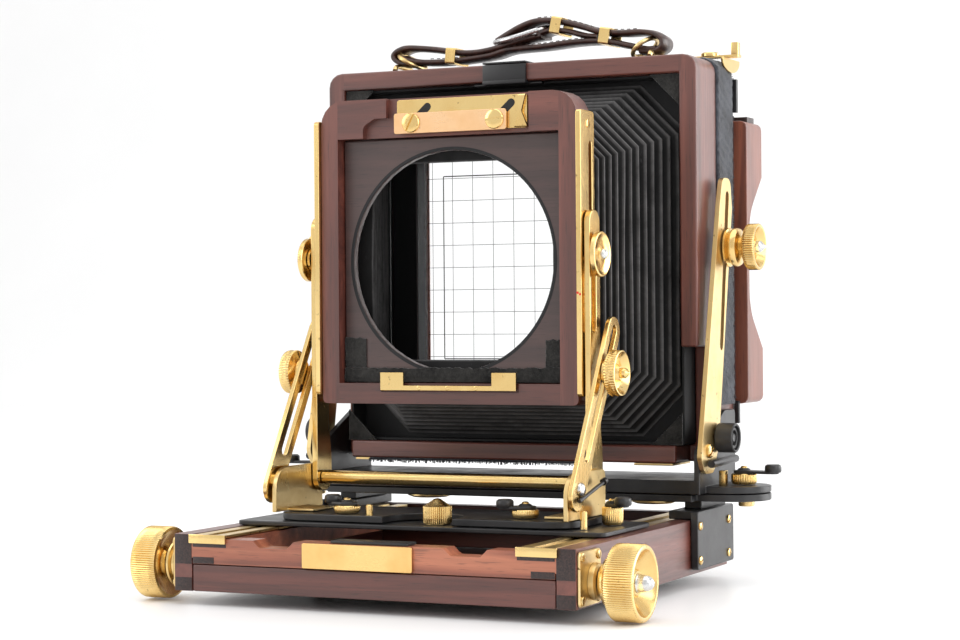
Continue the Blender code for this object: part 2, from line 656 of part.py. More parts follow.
# ---------------------------------------------------------------- assembly

clear_scene()
PARTS = collection("field_camera_parts")
CUTTERS = collection("cutters")
ROOT = bpy.data.objects.new("field_camera", None)
ROOT.location = Vector((0.0, -Y_CENTRE, PLATE_THICKNESS)) * MM
PARTS.objects.link(ROOT)

bed()
tripod_plate()
side_plates()
rear_base_plate()
focus_drive()
extension_frame()
tracks()
racks()
name_plate()
front_carriage()
levers()
swing_plate()
front_brackets()
uprights()
front_struts()
front_knobs()
lens_frame()
lens_panel()
side_strips()
board_rest()
board_lock()
bellows()
rear_yoke()
rear_struts()
rear_knobs()
rear_frame()
back_frame()
film_frame()
back_latch()
carrying_handle()
for part in PARTS.objects:
    if part.type == "MESH":
        part.data.shade_smooth()
        part.data.set_sharp_from_angle(angle=math.radians(35))
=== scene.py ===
import math
import random

import bmesh
import bpy
from mathutils import Matrix, Vector


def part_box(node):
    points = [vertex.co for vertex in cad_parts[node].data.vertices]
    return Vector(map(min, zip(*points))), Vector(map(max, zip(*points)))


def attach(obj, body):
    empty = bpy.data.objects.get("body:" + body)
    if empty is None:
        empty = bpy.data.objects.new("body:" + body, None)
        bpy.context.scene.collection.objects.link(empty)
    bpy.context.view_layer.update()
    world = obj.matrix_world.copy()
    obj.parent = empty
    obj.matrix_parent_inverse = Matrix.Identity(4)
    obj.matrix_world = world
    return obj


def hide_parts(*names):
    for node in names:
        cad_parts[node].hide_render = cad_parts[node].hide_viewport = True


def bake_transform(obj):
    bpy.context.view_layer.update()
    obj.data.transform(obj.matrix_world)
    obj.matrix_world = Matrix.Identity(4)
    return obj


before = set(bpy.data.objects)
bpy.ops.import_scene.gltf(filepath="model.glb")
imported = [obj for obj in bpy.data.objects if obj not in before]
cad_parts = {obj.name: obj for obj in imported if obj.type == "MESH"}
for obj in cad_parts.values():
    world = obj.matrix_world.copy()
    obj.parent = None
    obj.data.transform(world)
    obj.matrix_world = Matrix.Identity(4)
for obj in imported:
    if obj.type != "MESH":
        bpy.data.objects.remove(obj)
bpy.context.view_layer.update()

# Everything below is written in the design's own millimetres: X to the right, Y back from the ground
# glass, Z up from the underside of the bed.
MM = 0.001
DESIGN_ORIGIN = Vector((0, 82.25, 5.5))
TO_FRAME = Matrix.Scale(MM, 4) @ Matrix.Translation(DESIGN_ORIGIN)
SIDES = {"left": -1, "right": 1}


def design_box(node):
    """The lowest and highest corner of a CAD node, in design millimetres."""
    low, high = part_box(node)
    return low / MM - DESIGN_ORIGIN, high / MM - DESIGN_ORIGIN


def seat_of(node, sign):
    """The middle of a knob's inner face, in design millimetres. sign is 1 on the right."""
    low, high = design_box(node)
    return Vector((low.x if sign > 0 else high.x, (low.y + high.y) / 2, (low.z + high.z) / 2))


def placed(name, data):
    """A new object in the scene."""
    made = bpy.data.objects.new(name, data)
    bpy.context.scene.collection.objects.link(made)
    return made


# ---------------------------------------------------------------- camera

CAMERA_PLACE = (0.393087, -0.838031, 0.109097)
CAMERA_AZIMUTH, CAMERA_PITCH, CAMERA_ROLL = 25.043, -0.042, -0.432


def make_camera():
    """The camera at three-quarter view from the front right, level with the lens."""
    data = bpy.data.cameras.new("camera")
    data.lens, data.sensor_width = 85.2, 36
    data.clip_start, data.clip_end = 0.05, 20
    camera = placed("camera", data)
    turn, pitch = math.radians(CAMERA_AZIMUTH), math.radians(CAMERA_PITCH)
    forward = Vector((-math.sin(turn) * math.cos(pitch), math.cos(turn) * math.cos(pitch), math.sin(pitch)))
    level = Vector((math.cos(turn), math.sin(turn), 0))
    upright = level.cross(forward)
    lean = math.radians(CAMERA_ROLL)
    right = level * math.cos(lean) + upright * math.sin(lean)
    up = upright * math.cos(lean) - level * math.sin(lean)
    rows = Matrix((right, up, -forward)).transposed().to_4x4()
    camera.matrix_world = Matrix.Translation(CAMERA_PLACE) @ rows
    bpy.context.scene.camera = camera


# ---------------------------------------------------------------- materials

# Short names for the inputs of the Principled shader.
INPUTS = {"colour": "Base Color", "rough": "Roughness", "metal": "Metallic", "shine": "Specular IOR Level",
          "coat": "Coat Weight", "coat_rough": "Coat Roughness", "sheen": "Sheen Weight",
          "sheen_rough": "Sheen Roughness", "clear": "Transmission Weight", "ior": "IOR"}


def linked(value):
    return isinstance(value, bpy.types.NodeSocket)


def connect(socket, value):
    """Sets a socket to a value, or links it to another node's output."""
    if linked(value):
        socket.id_data.links.new(value, socket)
    else:
        socket.default_value = (*value, 1) if socket.type == "RGBA" else value


def node(near, kind, inputs=None, **settings):
    """Adds a shader node to the tree that `near` is in. An input is a value, or another node's output."""
    made = near.id_data.nodes.new("ShaderNode" + kind)
    for key, value in settings.items():
        setattr(made, key, value)
    for key, value in (inputs or {}).items():
        connect(made.inputs[key], value)
    return made


def new_material(name):
    """A material and its Principled shader, with the object's own coordinates in metres."""
    made = bpy.data.materials.new(name)
    made.use_nodes = True
    shader = made.node_tree.nodes["Principled BSDF"]
    return made, shader, node(shader, "TexCoord").outputs["Object"]


def surface(shader, **inputs):
    """Sets the shader's inputs, by their short names."""
    for key, value in inputs.items():
        connect(shader.inputs[INPUTS[key]], value)


def stretched(place, scale, shift=(0, 0, 0)):
    return node(place, "Mapping", {"Vector": place, "Scale": scale, "Location": shift}).outputs["Vector"]


def noise(place, scale, detail=4.0, rough=0.55, twist=0.0):
    inputs = {"Vector": place, "Scale": scale, "Detail": detail, "Roughness": rough, "Distortion": twist}
    return node(place, "TexNoise", inputs).outputs["Fac"]


def ramp(factor, *stops):
    """A colour ramp. Each stop is (position, grey or colour)."""
    made = node(factor, "ValToRGB", {"Fac": factor})
    marks = made.color_ramp.elements
    while len(marks) < len(stops):
        marks.new(0.5)
    for mark, (position, colour) in zip(marks, stops):
        mark.position = position
        mark.color = (colour, colour, colour, 1) if isinstance(colour, (int, float)) else (*colour, 1)
    return made.outputs["Color"]


def mixed(factor, a, b, kind="MIX"):
    made = node(next(filter(linked, (factor, a, b))), "Mix", data_type="RGBA", blend_type=kind)
    for index, value in ((0, factor), (6, a), (7, b)):
        connect(made.inputs[index], value)
    return made.outputs[2]


def maths(operation, *values):
    made = node(next(filter(linked, values)), "Math", operation=operation)
    for socket, value in zip(made.inputs, values):
        connect(socket, value)
    return made.outputs[0]


def bump(shader, height, strength, distance):
    made = node(shader, "Bump", {"Height": height, "Strength": strength, "Distance": distance})
    connect(shader.inputs["Normal"], made.outputs["Normal"])


GRAIN_SQUEEZE = {"X": (0.06, 1, 1), "Y": (1, 0.06, 1), "Z": (1, 1, 0.06)}
ROSEWOOD = ((0.075, 0.018, 0.0115), (0.122, 0.031, 0.020), (0.170, 0.047, 0.031))
WARM_ROSEWOOD = ((0.110, 0.026, 0.012), (0.175, 0.044, 0.021), (0.240, 0.066, 0.032))
RED_ROSEWOOD = ((0.210, 0.056, 0.028), (0.330, 0.096, 0.048), (0.450, 0.150, 0.076))
DARK_ROSEWOOD = ((0.040, 0.0195, 0.0170), (0.053, 0.0255, 0.0220), (0.066, 0.0320, 0.0270))


def wood(name, tones, along, seed, stiles=None, rough=0.42, coat=0.4):
    """Polished rosewood with its grain along one axis, or along Z beyond the distance `stiles` from
    the middle, where a frame's upright members are."""
    made, shader, place = new_material(name)
    shift = (seed * 0.37, seed * 0.19, seed * 0.23)
    grain = stretched(place, GRAIN_SQUEEZE[along], shift)
    if stiles:
        across = node(place, "SeparateXYZ", {"Vector": place}).outputs["X"]
        beyond = maths("GREATER_THAN", maths("ABSOLUTE", across), stiles * MM)
        chosen = node(place, "Mix", data_type="VECTOR")
        upright = stretched(place, GRAIN_SQUEEZE["Z"], shift)
        for index, value in ((0, beyond), (4, grain), (5, upright)):
            connect(chosen.inputs[index], value)
        grain = chosen.outputs[1]
    figure = noise(grain, 90, 3, 0.5, 1.6)
    fibre = noise(grain, 620, 5, 0.62, 0.4)
    blotch = noise(place, 26, 2, 0.5)
    streak = ramp(noise(grain, 1900, 2, 0.5), (0.60, 1.0), (0.70, 0.60))
    colour = ramp(figure, (0.33, tones[0]), (0.5, tones[1]), (0.68, tones[2]))
    colour = mixed(0.55, colour, ramp(fibre, (0.3, 0.66), (0.62, 1.0)), "MULTIPLY")
    colour = mixed(0.4, colour, ramp(blotch, (0.35, 0.76), (0.65, 1.0)), "MULTIPLY")
    surface(shader, colour=mixed(1.0, colour, streak, "MULTIPLY"), shine=0.6, coat=coat,
            rough=ramp(fibre, (0.3, rough + 0.10), (0.7, rough - 0.04)), coat_rough=0.3)
    bump(shader, streak, 0.25, 0.0001)
    return made


def end_grain(name):
    """The dark, pored end grain that shows at a finger joint."""
    made, shader, place = new_material(name)
    pores = noise(place, 1700, 4, 0.6)
    tone = ramp(pores, (0.35, (0.010, 0.006, 0.006)), (0.7, (0.050, 0.024, 0.020)))
    surface(shader, colour=tone, rough=0.38)
    bump(shader, pores, 0.3, 0.0001)
    return made


def brass(name, tint=(0.80, 0.58, 0.25), rough=0.2, brushed="Z", spots=0.5):
    """Lacquered brass: fine brushed lines, soft tarnish and a few dark pits in the lacquer."""
    made, shader, place = new_material(name)
    lines = noise(stretched(place, GRAIN_SQUEEZE[brushed]), 1500, 3, 0.6)
    tarnish = noise(place, 55, 4, 0.6)
    pits = noise(place, 420, 2, 0.5)
    warm = tuple(part * shade for part, shade in zip(tint, (0.80, 0.70, 0.55)))
    colour = mixed(ramp(tarnish, (0.42, 0.0), (0.74, 0.75)), tint, warm)
    colour = mixed(ramp(pits, (0.70, 0.0), (0.76, spots)), colour, (0.09, 0.05, 0.02))
    smear = mixed(0.5, ramp(lines, (0.3, rough - 0.05), (0.7, rough + 0.08)),
                  ramp(tarnish, (0.35, rough - 0.06), (0.7, rough + 0.14)))
    surface(shader, colour=colour, metal=1.0, rough=smear)
    bump(shader, lines, 0.10, 0.00004)
    return made


def black_paint(name):
    """Satin black enamel on metal, with faint orange peel and rubbed patches."""
    made, shader, place = new_material(name)
    rub = noise(place, 60, 4, 0.6)
    tone = ramp(rub, (0.35, (0.008, 0.008, 0.009)), (0.75, (0.026, 0.025, 0.026)))
    surface(shader, colour=tone, rough=ramp(rub, (0.35, 0.29), (0.7, 0.46)))
    bump(shader, noise(place, 900, 3, 0.6), 0.10, 0.00008)
    return made


def bellows_leather(name):
    """Thin matt black bellows leather, scuffed grey in patches and dusted with grey specks, with a painted
    highlight along the crests of the folds.
    """
    made, shader, place = new_material(name)
    grain = node(place, "TexVoronoi", {"Vector": place, "Scale": 1500}).outputs["Distance"]
    wear = noise(place, 75, 6, 0.72, 0.6)
    speck = noise(stretched(place, (1, 1, 0.35)), 620, 3, 0.7)
    tone = ramp(wear, (0.30, (0.0040, 0.0038, 0.0040)), (0.62, (0.0085, 0.0080, 0.0082)),
                (0.80, (0.030, 0.029, 0.029)))
    dust = maths("MULTIPLY", ramp(speck, (0.64, 0.0), (0.76, 1.0)),
                 ramp(wear, (0.45, 0.0), (0.7, 0.5)))
    tone = mixed(dust, tone, (0.13, 0.13, 0.13))
    # Painted highlight: where the "crest" attribute is near 1, on the crests of the folds, the leather is
    # lightened to grey, broken up by the wear noise.
    fold = node(place, "Attribute", attribute_name="crest").outputs["Fac"]
    painted_crest_highlight = maths("MULTIPLY", ramp(fold, (0.86, 0.0), (0.98, 1.0)),
                   ramp(wear, (0.30, 0.35), (0.65, 1.0)))
    surface(shader, colour=mixed(painted_crest_highlight, tone, (0.105, 0.102, 0.102)), shine=0.22,
            rough=ramp(wear, (0.3, 0.62), (0.75, 0.46)))
    bump(shader, grain, 0.35, 0.00012)
    return made


def handle_leather(name):
    """Dark brown strap leather, waxed and creased."""
    made, shader, place = new_material(name)
    cells = node(place, "TexVoronoi", {"Vector": place, "Scale": 1300}).outputs["Distance"]
    crease = noise(stretched(place, (1.5, 0.5, 1)), 210, 5, 0.65, 0.8)
    tone = ramp(crease, (0.3, (0.018, 0.006, 0.004)), (0.7, (0.062, 0.022, 0.014)))
    surface(shader, colour=tone, rough=ramp(crease, (0.3, 0.50), (0.7, 0.33)), coat=0.15,
            coat_rough=0.3)
    bump(shader, mixed(0.5, cells, crease), 0.45, 0.00025)
    return made


def pile(name, dark, light, scale):
    """A short black pile: felt, or the fuzz of a hook-and-loop band."""
    made, shader, place = new_material(name)
    tuft = noise(place, scale, 5, 0.75)
    tone = mixed(0.5, ramp(tuft, (0.38, dark), (0.72, light)),
                 ramp(noise(place, 90, 3, 0.6), (0.35, dark), (0.7, light)))
    surface(shader, colour=tone, rough=0.92, shine=0.2, sheen=0.35, sheen_rough=0.4)
    bump(shader, tuft, 0.9, 0.0005)
    return made


def steel(name):
    """Bright turned steel with fine scratches."""
    made, shader, place = new_material(name)
    lines = noise(place, 1300, 4, 0.65)
    surface(shader, colour=ramp(lines, (0.3, 0.50), (0.7, 0.72)), metal=1.0,
            rough=ramp(lines, (0.3, 0.18), (0.7, 0.32)))
    return made


def ground_glass(name):
    """Ground glass: it scatters the light from behind, and shows a faint frosted grain."""
    made, shader, place = new_material(name)
    frost = noise(place, 2600, 3, 0.6)
    surface(shader, colour=ramp(frost, (0.3, (0.97, 0.98, 0.985)), (0.7, (1.0, 1.0, 1.0))),
            rough=0.3, clear=1.0, ior=1.12)
    bump(shader, frost, 0.15, 0.00003)
    return made


def plain(name, colour, rough):
    """A small marking or lining whose tone only varies a little."""
    made, shader, place = new_material(name)
    dim = tuple(part * 0.7 for part in colour)
    tone = ramp(noise(place, 500, 3, 0.6), (0.3, dim), (0.7, colour))
    surface(shader, colour=tone, rough=rough)
    return made


# ---------------------------------------------------------------- shapes

def close_shell(faces):
    """Turns a closed shell of faces to point outwards."""
    volume = 0.0
    for face in faces:
        first, *rest = [vert.co for vert in face.verts]
        for a, b in zip(rest, rest[1:]):
            volume += first.dot(a.cross(b))
    if volume < 0:
        for face in faces:
            face.normal_flip()


def loft(bm, rings, wrap=True):
    """A closed skin over rings of equally many points, capped at both ends or wrapped into a loop."""
    loops = [[bm.verts.new(point) for point in ring] for ring in rings]
    count = len(loops[0])
    faces = []
    pairs = list(zip(loops, loops[1:]))
    if not wrap:
        pairs.append((loops[-1], loops[0]))
    for a, b in pairs:
        for i in range(count):
            j = (i + 1) % count
            faces.append(bm.faces.new((a[i], a[j], b[j], b[i])))
    if wrap:
        faces.append(bm.faces.new(loops[0][::-1]))
        faces.append(bm.faces.new(loops[-1]))
    close_shell(faces)
    return faces


def frame_of(axis):
    """Two directions square to an axis."""
    axis = Vector(axis).normalized()
    helper = Vector((0, 0, 1)) if abs(axis.z) < 0.9 else Vector((1, 0, 0))
    across = axis.cross(helper).normalized()
    return axis, across, axis.cross(across)


def turned(bm, profile, centre, axis, steps=64, wave=None):
    """A turned solid. The profile runs from top to foot, with both ends on the axis, as (radius, height),
    or as (radius, height, depth) where it is knurled `depth` deep by the wave."""
    axis, across, up = frame_of(axis)
    centre = Vector(centre)
    loops = []
    for radius, height, *knurl in profile[1:-1]:
        ring = []
        for step in range(steps):
            angle = 2 * math.pi * step / steps
            reach = radius - (wave(angle, height) * knurl[0] if wave and knurl else 0.0)
            spot = centre + axis * height + (across * math.cos(angle) + up * math.sin(angle)) * reach
            ring.append(bm.verts.new(spot))
        loops.append(ring)
    faces = []
    for a, b in zip(loops, loops[1:]):
        for i in range(steps):
            j = (i + 1) % steps
            faces.append(bm.faces.new((a[i], a[j], b[j], b[i])))
    for (_, height), ring in ((profile[0], loops[0]), (profile[-1], loops[-1])):
        tip = bm.verts.new(centre + axis * height)
        faces += [bm.faces.new((ring[i], ring[(i + 1) % steps], tip)) for i in range(steps)]
    bmesh.ops.recalc_face_normals(bm, faces=faces)
    close_shell(faces)


def block(bm, x, y, z, chamfer=0.25):
    """A block with chamfered edges, from spans along each axis."""
    made = bmesh.ops.create_cube(bm, size=1.0)["verts"]
    for vert in made:
        for i, span in enumerate((x, y, z)):
            vert.co[i] = max(span) if vert.co[i] > 0 else min(span)
    if chamfer:
        edges = list({edge for vert in made for edge in vert.link_edges})
        bmesh.ops.bevel(bm, geom=edges, offset=chamfer, segments=2, affect="EDGES", profile=0.6)


def plate(bm, outline, axis, span, chamfer=0.25):
    """A flat plate: an outline in the plane square to an axis, through a span, with eased edges."""
    def at(w, corners):
        return [{"X": (w, u, v), "Y": (u, w, v), "Z": (u, v, w)}[axis] for u, v in corners]
    low, high = sorted(span)
    middle = Vector((sum(p[0] for p in outline), sum(p[1] for p in outline))) / len(outline)
    eased = []
    for u, v in outline:
        inward = (middle - Vector((u, v))).normalized() * chamfer
        eased.append((u + inward.x, v + inward.y))
    loft(bm, [at(low, eased), at(low + chamfer, outline), at(high - chamfer, outline), at(high, eased)])


def sleeve(bm, *sections):
    """A thin rectangular sleeve or frame. A section is its half width, lowest and highest Z, and Y."""
    loft(bm, [[(-half, y, low), (half, y, low), (half, y, high), (-half, y, high)]
              for half, low, high, y in sections], wrap=False)


def arc(centre, radius, start, end, steps=8):
    turns = [math.radians(start + (end - start) * i / steps) for i in range(steps + 1)]
    return [(centre[0] + radius * math.cos(turn), centre[1] + radius * math.sin(turn)) for turn in turns]


def rounded_outline(x, z, radius, steps=5):
    (x0, x1), (z0, z1) = (x[0] + radius, x[1] - radius), (z[0] + radius, z[1] - radius)
    return (arc((x1, z1), radius, 0, 90, steps) + arc((x0, z1), radius, 90, 180, steps)
            + arc((x0, z0), radius, 180, 270, steps) + arc((x1, z0), radius, 270, 360, steps))


def screw(bm, centre, axis, radius, dome=0.5, slot_turn=0.0, slot_width=None):
    """A slotted screw head: a washer-like foot and two domed halves with the slot between them."""
    axis, across, up = frame_of(axis)
    centre = Vector(centre)
    turn = math.radians(slot_turn)
    along = across * math.cos(turn) + up * math.sin(turn)
    side = axis.cross(along)
    half_slot = (slot_width or radius * 0.3) / 2
    foot = dome * 0.35

    def spot(height, reach, angle, way=1):
        return centre + axis * height + (along * math.cos(angle) + side * way * math.sin(angle)) * reach

    loft(bm, [[spot(height, radius, 2 * math.pi * i / 24) for i in range(24)] for height in (-0.25, foot)])
    for way in (1, -1):
        rings = []
        for share, height in ((1.0, foot - 0.05), (1.0, foot + 0.05), (0.93, dome * 0.72),
                              (0.72, dome * 0.95), (0.45, dome)):
            reach = radius * share
            low = math.asin(min(0.95, half_slot / reach))
            rings.append([spot(height, reach, low + (math.pi - 2 * low) * i / 10, way) for i in range(11)])
        loft(bm, rings)


def catmull(points, steps=8):
    """A smooth line through points."""
    points = [Vector(p) for p in points]
    ends = [points[0] * 2 - points[1], *points, points[-1] * 2 - points[-2]]
    line = []
    for a, b, c, d in zip(ends, ends[1:], ends[2:], ends[3:]):
        for i in range(steps):
            t = i / steps
            line.append(0.5 * ((2 * b) + (c - a) * t + (2 * a - 5 * b + 4 * c - d) * t * t
                               + (3 * b - a - 3 * c + d) * t ** 3))
    return line + [points[-1]]


def ribbon(bm, route, width, thickness, middle):
    """A strap: a rounded flat section, `width` across Y, swept along a route of (x, z) points."""
    line = catmull([(x, z, 0) for x, z in route])
    crown = 0.75
    section = [(-0.5, -0.25), (-0.46, -0.5), (0, -crown), (0.46, -0.5), (0.5, -0.25), (0.5, 0.25),
               (0.46, 0.5), (0, crown), (-0.46, 0.5), (-0.5, 0.25)]
    rings = []
    for i, here in enumerate(line):
        run = (line[min(i + 1, len(line) - 1)] - line[max(i - 1, 0)]).normalized()
        normal = Vector((-run.y, run.x, 0))
        points = [(here + normal * high * thickness, across) for across, high in section]
        rings.append([(point.x, middle + across * width, point.y) for point, across in points])
    loft(bm, rings)


def wire(bm, route, radius, closed=False, sides=10):
    """A round wire along a smooth route of (x, y, z) points."""
    if closed:
        line = catmull([*route, *route[:3]], 6)[6:6 * (len(route) + 1)]
    else:
        line = catmull(route, 6)
    total = len(line)
    rings = []
    normal = None
    for i, here in enumerate(line):
        if closed:
            run = (line[(i + 1) % total] - line[i - 1]).normalized()
        else:
            run = (line[min(i + 1, total - 1)] - line[max(i - 1, 0)]).normalized()
        if normal is None:
            normal = frame_of(run)[1]
        normal = (normal - run * normal.dot(run)).normalized()
        other = run.cross(normal)
        rings.append([here + (normal * math.cos(2 * math.pi * k / sides)
                      + other * math.sin(2 * math.pi * k / sides)) * radius for k in range(sides)])
    loft(bm, rings, wrap=not closed)


def piece(name, material, body, *parts, slot=None, replaces=None, sharp=35.0, smooth=True, bm=None):
    """Makes an object, in design millimetres, that rides on a body. Each part is a shape function with
    what it takes after the mesh. The slot argument is not used."""
    bm = bm or bmesh.new()
    for shape, *rest in parts:
        shape(bm, *rest)
    bmesh.ops.transform(bm, matrix=TO_FRAME, verts=bm.verts)
    mesh = bpy.data.meshes.new(name)
    bm.to_mesh(mesh)
    bm.free()
    if smooth:
        mesh.shade_smooth()
        mesh.set_sharp_from_angle(angle=math.radians(sharp))
    mesh.materials.append(material)
    made = placed(name, mesh)
    if body:
        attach(made, body)
    if replaces:
        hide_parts(replaces)
    return made


def dress(node_name, material, edge, flatten=True):
    """Gives a CAD node its material, and eases its edges by `edge` millimetres."""
    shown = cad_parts[node_name]
    mesh = shown.data
    if "custom_normal" in mesh.attributes:
        mesh.attributes.remove(mesh.attributes["custom_normal"])
    mesh.shade_smooth()
    mesh.materials.clear()
    mesh.materials.append(material)
    weld = shown.modifiers.new("weld", "WELD")
    weld.merge_threshold = 0.000002
    if flatten:
        merge = shown.modifiers.new("flatten", "DECIMATE")
        merge.decimate_type = "DISSOLVE"
        merge.angle_limit = math.radians(0.4)
    ease = shown.modifiers.new("ease", "BEVEL")
    ease.width, ease.segments, ease.limit_method = edge * MM, 2, "ANGLE"
    ease.angle_limit = math.radians(32)
    ease.harden_normals = True


# ---------------------------------------------------------------- the materials in use

END_GRAIN = end_grain("rosewood_end_grain")
BRASS = brass("brass")
BRASS_PLATE = brass("brass_name_plate", (0.90, 0.60, 0.24), 0.3, "X", 0.2)
BRASS_ROSE = brass("rose_brass", (0.92, 0.60, 0.34), 0.28, "X", 0.3)
BRASS_AGED = brass("brass_aged", (0.74, 0.56, 0.27), 0.3, "Z", 0.9)
BLACK = black_paint("black_enamel")
BELLOWS = bellows_leather("bellows_leather")
LEATHER = handle_leather("handle_leather")
FELT = pile("black_felt", (0.004, 0.004, 0.004), (0.05, 0.048, 0.045), 900)
LINING = plain("black_lining", (0.009, 0.009, 0.010), 0.75)
LOOPS = pile("hook_and_loop", (0.003, 0.003, 0.005), (0.085, 0.092, 0.110), 1100)
STEEL = steel("turned_steel")
GLASS = ground_glass("ground_glass")
INK = plain("grid_ink", (0.03, 0.03, 0.035), 0.6)
RED_PAINT = plain("red_index_paint", (0.75, 0.03, 0.01), 0.4)
THREAD = plain("waxed_thread", (0.040, 0.019, 0.013), 0.9)


# ---------------------------------------------------------------- CAD nodes that stay

def dress_cad_nodes():
    rails = wood("rosewood_bed_rails", ROSEWOOD, "X", 1)
    dress("bed_front_rail", rails, 0.6)
    dress("bed_rear_rail", rails, 0.6)
    sides = wood("rosewood_bed_sides", ROSEWOOD, "Y", 2)
    dress("bed_side_left", sides, 0.6)
    dress("bed_side_right", sides, 0.6)
    dress("bed_floor", wood("rosewood_bed_floor", DARK_ROSEWOOD, "Y", 3), 0.6)
    dress("extension_frame", wood("red_rosewood_extension", RED_ROSEWOOD, "X", 4), 0.6)
    dress("lens_frame", wood("rosewood_lens_frame", ROSEWOOD, "X", 5, 48.6), 0.9, flatten=False)
    dress("lens_panel", wood("dark_rosewood_lens_panel", DARK_ROSEWOOD, "X", 6, rough=0.36, coat=0.2), 0.6)
    dress("rear_frame", wood("rosewood_rear_frame", ROSEWOOD, "X", 7, 76.9), 0.9)
    dress("back_frame", wood("rosewood_back", DARK_ROSEWOOD, "X", 8, 63), 0.6)
    dress("ground_glass_frame", wood("red_rosewood_film_frame", WARM_ROSEWOOD, "Z", 9), 0.9)
    for name in ("tripod_plate", "rear_base_plate", "front_base_plate", "front_swing_plate", "rear_yoke"):
        dress(name, BLACK, 0.45)
    for name in ("lock_slide", "board_rest", "front_cross_axle", "focus_shaft"):
        dress(name, BRASS, 0.2)
    dress("name_plate", BRASS_PLATE, 0.2)
    dress("lock_cover", BRASS_ROSE, 0.25)
    for side in SIDES:
        dress("side_plate_" + side, BLACK, 0.5)
        for name in ("front_upright_", "front_strut_", "side_strip_", "tilt_stud_"):
            dress(name + side, BRASS, 0.3)
        for name in ("front_bracket_", "rear_strut_", "track_", "rack_"):
            dress(name + side, BRASS_AGED, 0.3)
    dress("ground_glass", GLASS, 0.3)


# ---------------------------------------------------------------- bellows

BELLOWS_BACK, BELLOWS_FRONT = -35.6, -96.6
BELLOWS_AXIS_Z = 126
PLEATS = 18
CREST = 0.22
LEATHER_WALL = 0.7
# Pleats that each stretch of the bellows takes, from the back to the front, with the bodies it joins.
STRETCHES = (("rear_frame", "rear_yoke", 2), ("rear_yoke", "bed", 1), ("bed", "extension", 6),
             ("extension", "carriage", 2), ("carriage", "front_swing", 1), ("front_swing", "uprights", 3),
             ("uprights", "lens_carrier", 2), ("lens_carrier", "lens_frame", 1))


def bellows_section(y, depth, thickness):
    """The bellows' outline at one place along it. depth is 0 on a ridge and 1 in a valley."""
    share = (y - BELLOWS_FRONT) / (BELLOWS_BACK - BELLOWS_FRONT)
    low_end, high_end = design_box("bellows")
    sunk = depth * (6.2 + 3.4 * share) + thickness
    half = 46.5 + (high_end.x - 46.5) * share - sunk
    low = 80.5 + (low_end.z - 80.5) * share + sunk
    high = 173.0 + (high_end.z - 173.0) * share - sunk
    cut = (11.0 + 9.0 * share) * (1.0 - 0.30 * depth)
    corners = ((half, high, -1, 0, 0, -1), (half, low, 0, 1, -1, 0), (-half, low, 1, 0, 0, 1),
               (-half, high, 0, -1, 1, 0))
    outline = []
    for x, z, ax, az, bx, bz in corners:
        outline += [(x + ax * cut, z + az * cut), (x + bx * cut, z + bz * cut)]
    points = []
    for (x0, z0), (x1, z1) in zip(outline, outline[1:] + outline[:1]):
        steps = 6 if abs(x1 - x0) + abs(z1 - z0) > 45 else 2
        points += [(x0 + (x1 - x0) * i / steps, z0 + (z1 - z0) * i / steps) for i in range(steps)]
    return points


def bellows_rows():
    """Places along the bellows from the back to the front, (y, depth): folded wider at the back."""
    widths = [5.1 - 2.6 * i / (PLEATS - 1) for i in range(PLEATS)]
    scale = (BELLOWS_BACK - BELLOWS_FRONT) / sum(widths)
    rows, y = [(BELLOWS_BACK, 0.0)], BELLOWS_BACK
    for width in widths:
        rows.append((y - 0.5 * width * scale, 1.0))
        y -= width * scale
        rows.append((y, 0.0))
    rows[-1] = (BELLOWS_FRONT, 0.0)
    return rows


def folded(stretch):
    """The rings of one stretch as (y, depth, row): each ridge is a narrow crest between two rings."""
    rings = []
    last = len(stretch) - 1
    for row, (y, depth) in enumerate(stretch):
        if depth:
            rings.append((y, depth, row))
        else:
            rings.append((y + (CREST if row else 0.0), 0.0, row))
            rings.append((y - (CREST if row < last else 0.0), 0.0, row))
    return rings


def make_bellows():
    """The pleated leather bellows, in fixed stretches, one for each joint listed in STRETCHES; none rides on
    a body. The attribute
    "crest" is 1 on the folds that stick out and 0 in the valleys."""
    rows = bellows_rows()
    draw = random.Random(7)
    sag = [[draw.uniform(-0.6, 0.6) for _ in range(3)] for _ in rows]
    start = 0
    for index, (a, b, pleats) in enumerate(STRETCHES):
        stretch = rows[start:start + 2 * pleats + 1]
        bm = bmesh.new()
        crest = bm.verts.layers.float.new("crest")
        outer, inner, marks = [], [], []
        for y, depth, row in folded(stretch):
            still = row in (0, len(stretch) - 1)
            for skin, wall in ((outer, 0.0), (inner, LEATHER_WALL)):
                ring = []
                for x, z in bellows_section(y, depth, wall):
                    turn = math.atan2(z - BELLOWS_AXIS_Z, x) * 2
                    waves = enumerate(sag[start + row], 1)
                    ripple = 0 if still else sum(w * math.sin(k * turn + w * 40) for k, w in waves)
                    ring.append((x, y + ripple * 0.8, z))
                skin.append(ring)
            marks.append(1.0 - depth)
        loft(bm, outer + inner[::-1], wrap=False)
        around = len(outer[0])
        levels = marks + [1.0 - mark for mark in marks[::-1]]
        # The "crest" level masks the painted highlight that the bellows material puts along the crests of the
        # folds.
        for vert, level in zip(bm.verts, (level for level in levels for _ in range(around))):
            vert[crest] = level
        made = piece(f"bellows_{index + 1}", BELLOWS, None, sharp=25, bm=bm,
                     replaces="bellows" if index == 0 else None)
        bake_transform(made)
        start += 2 * pleats


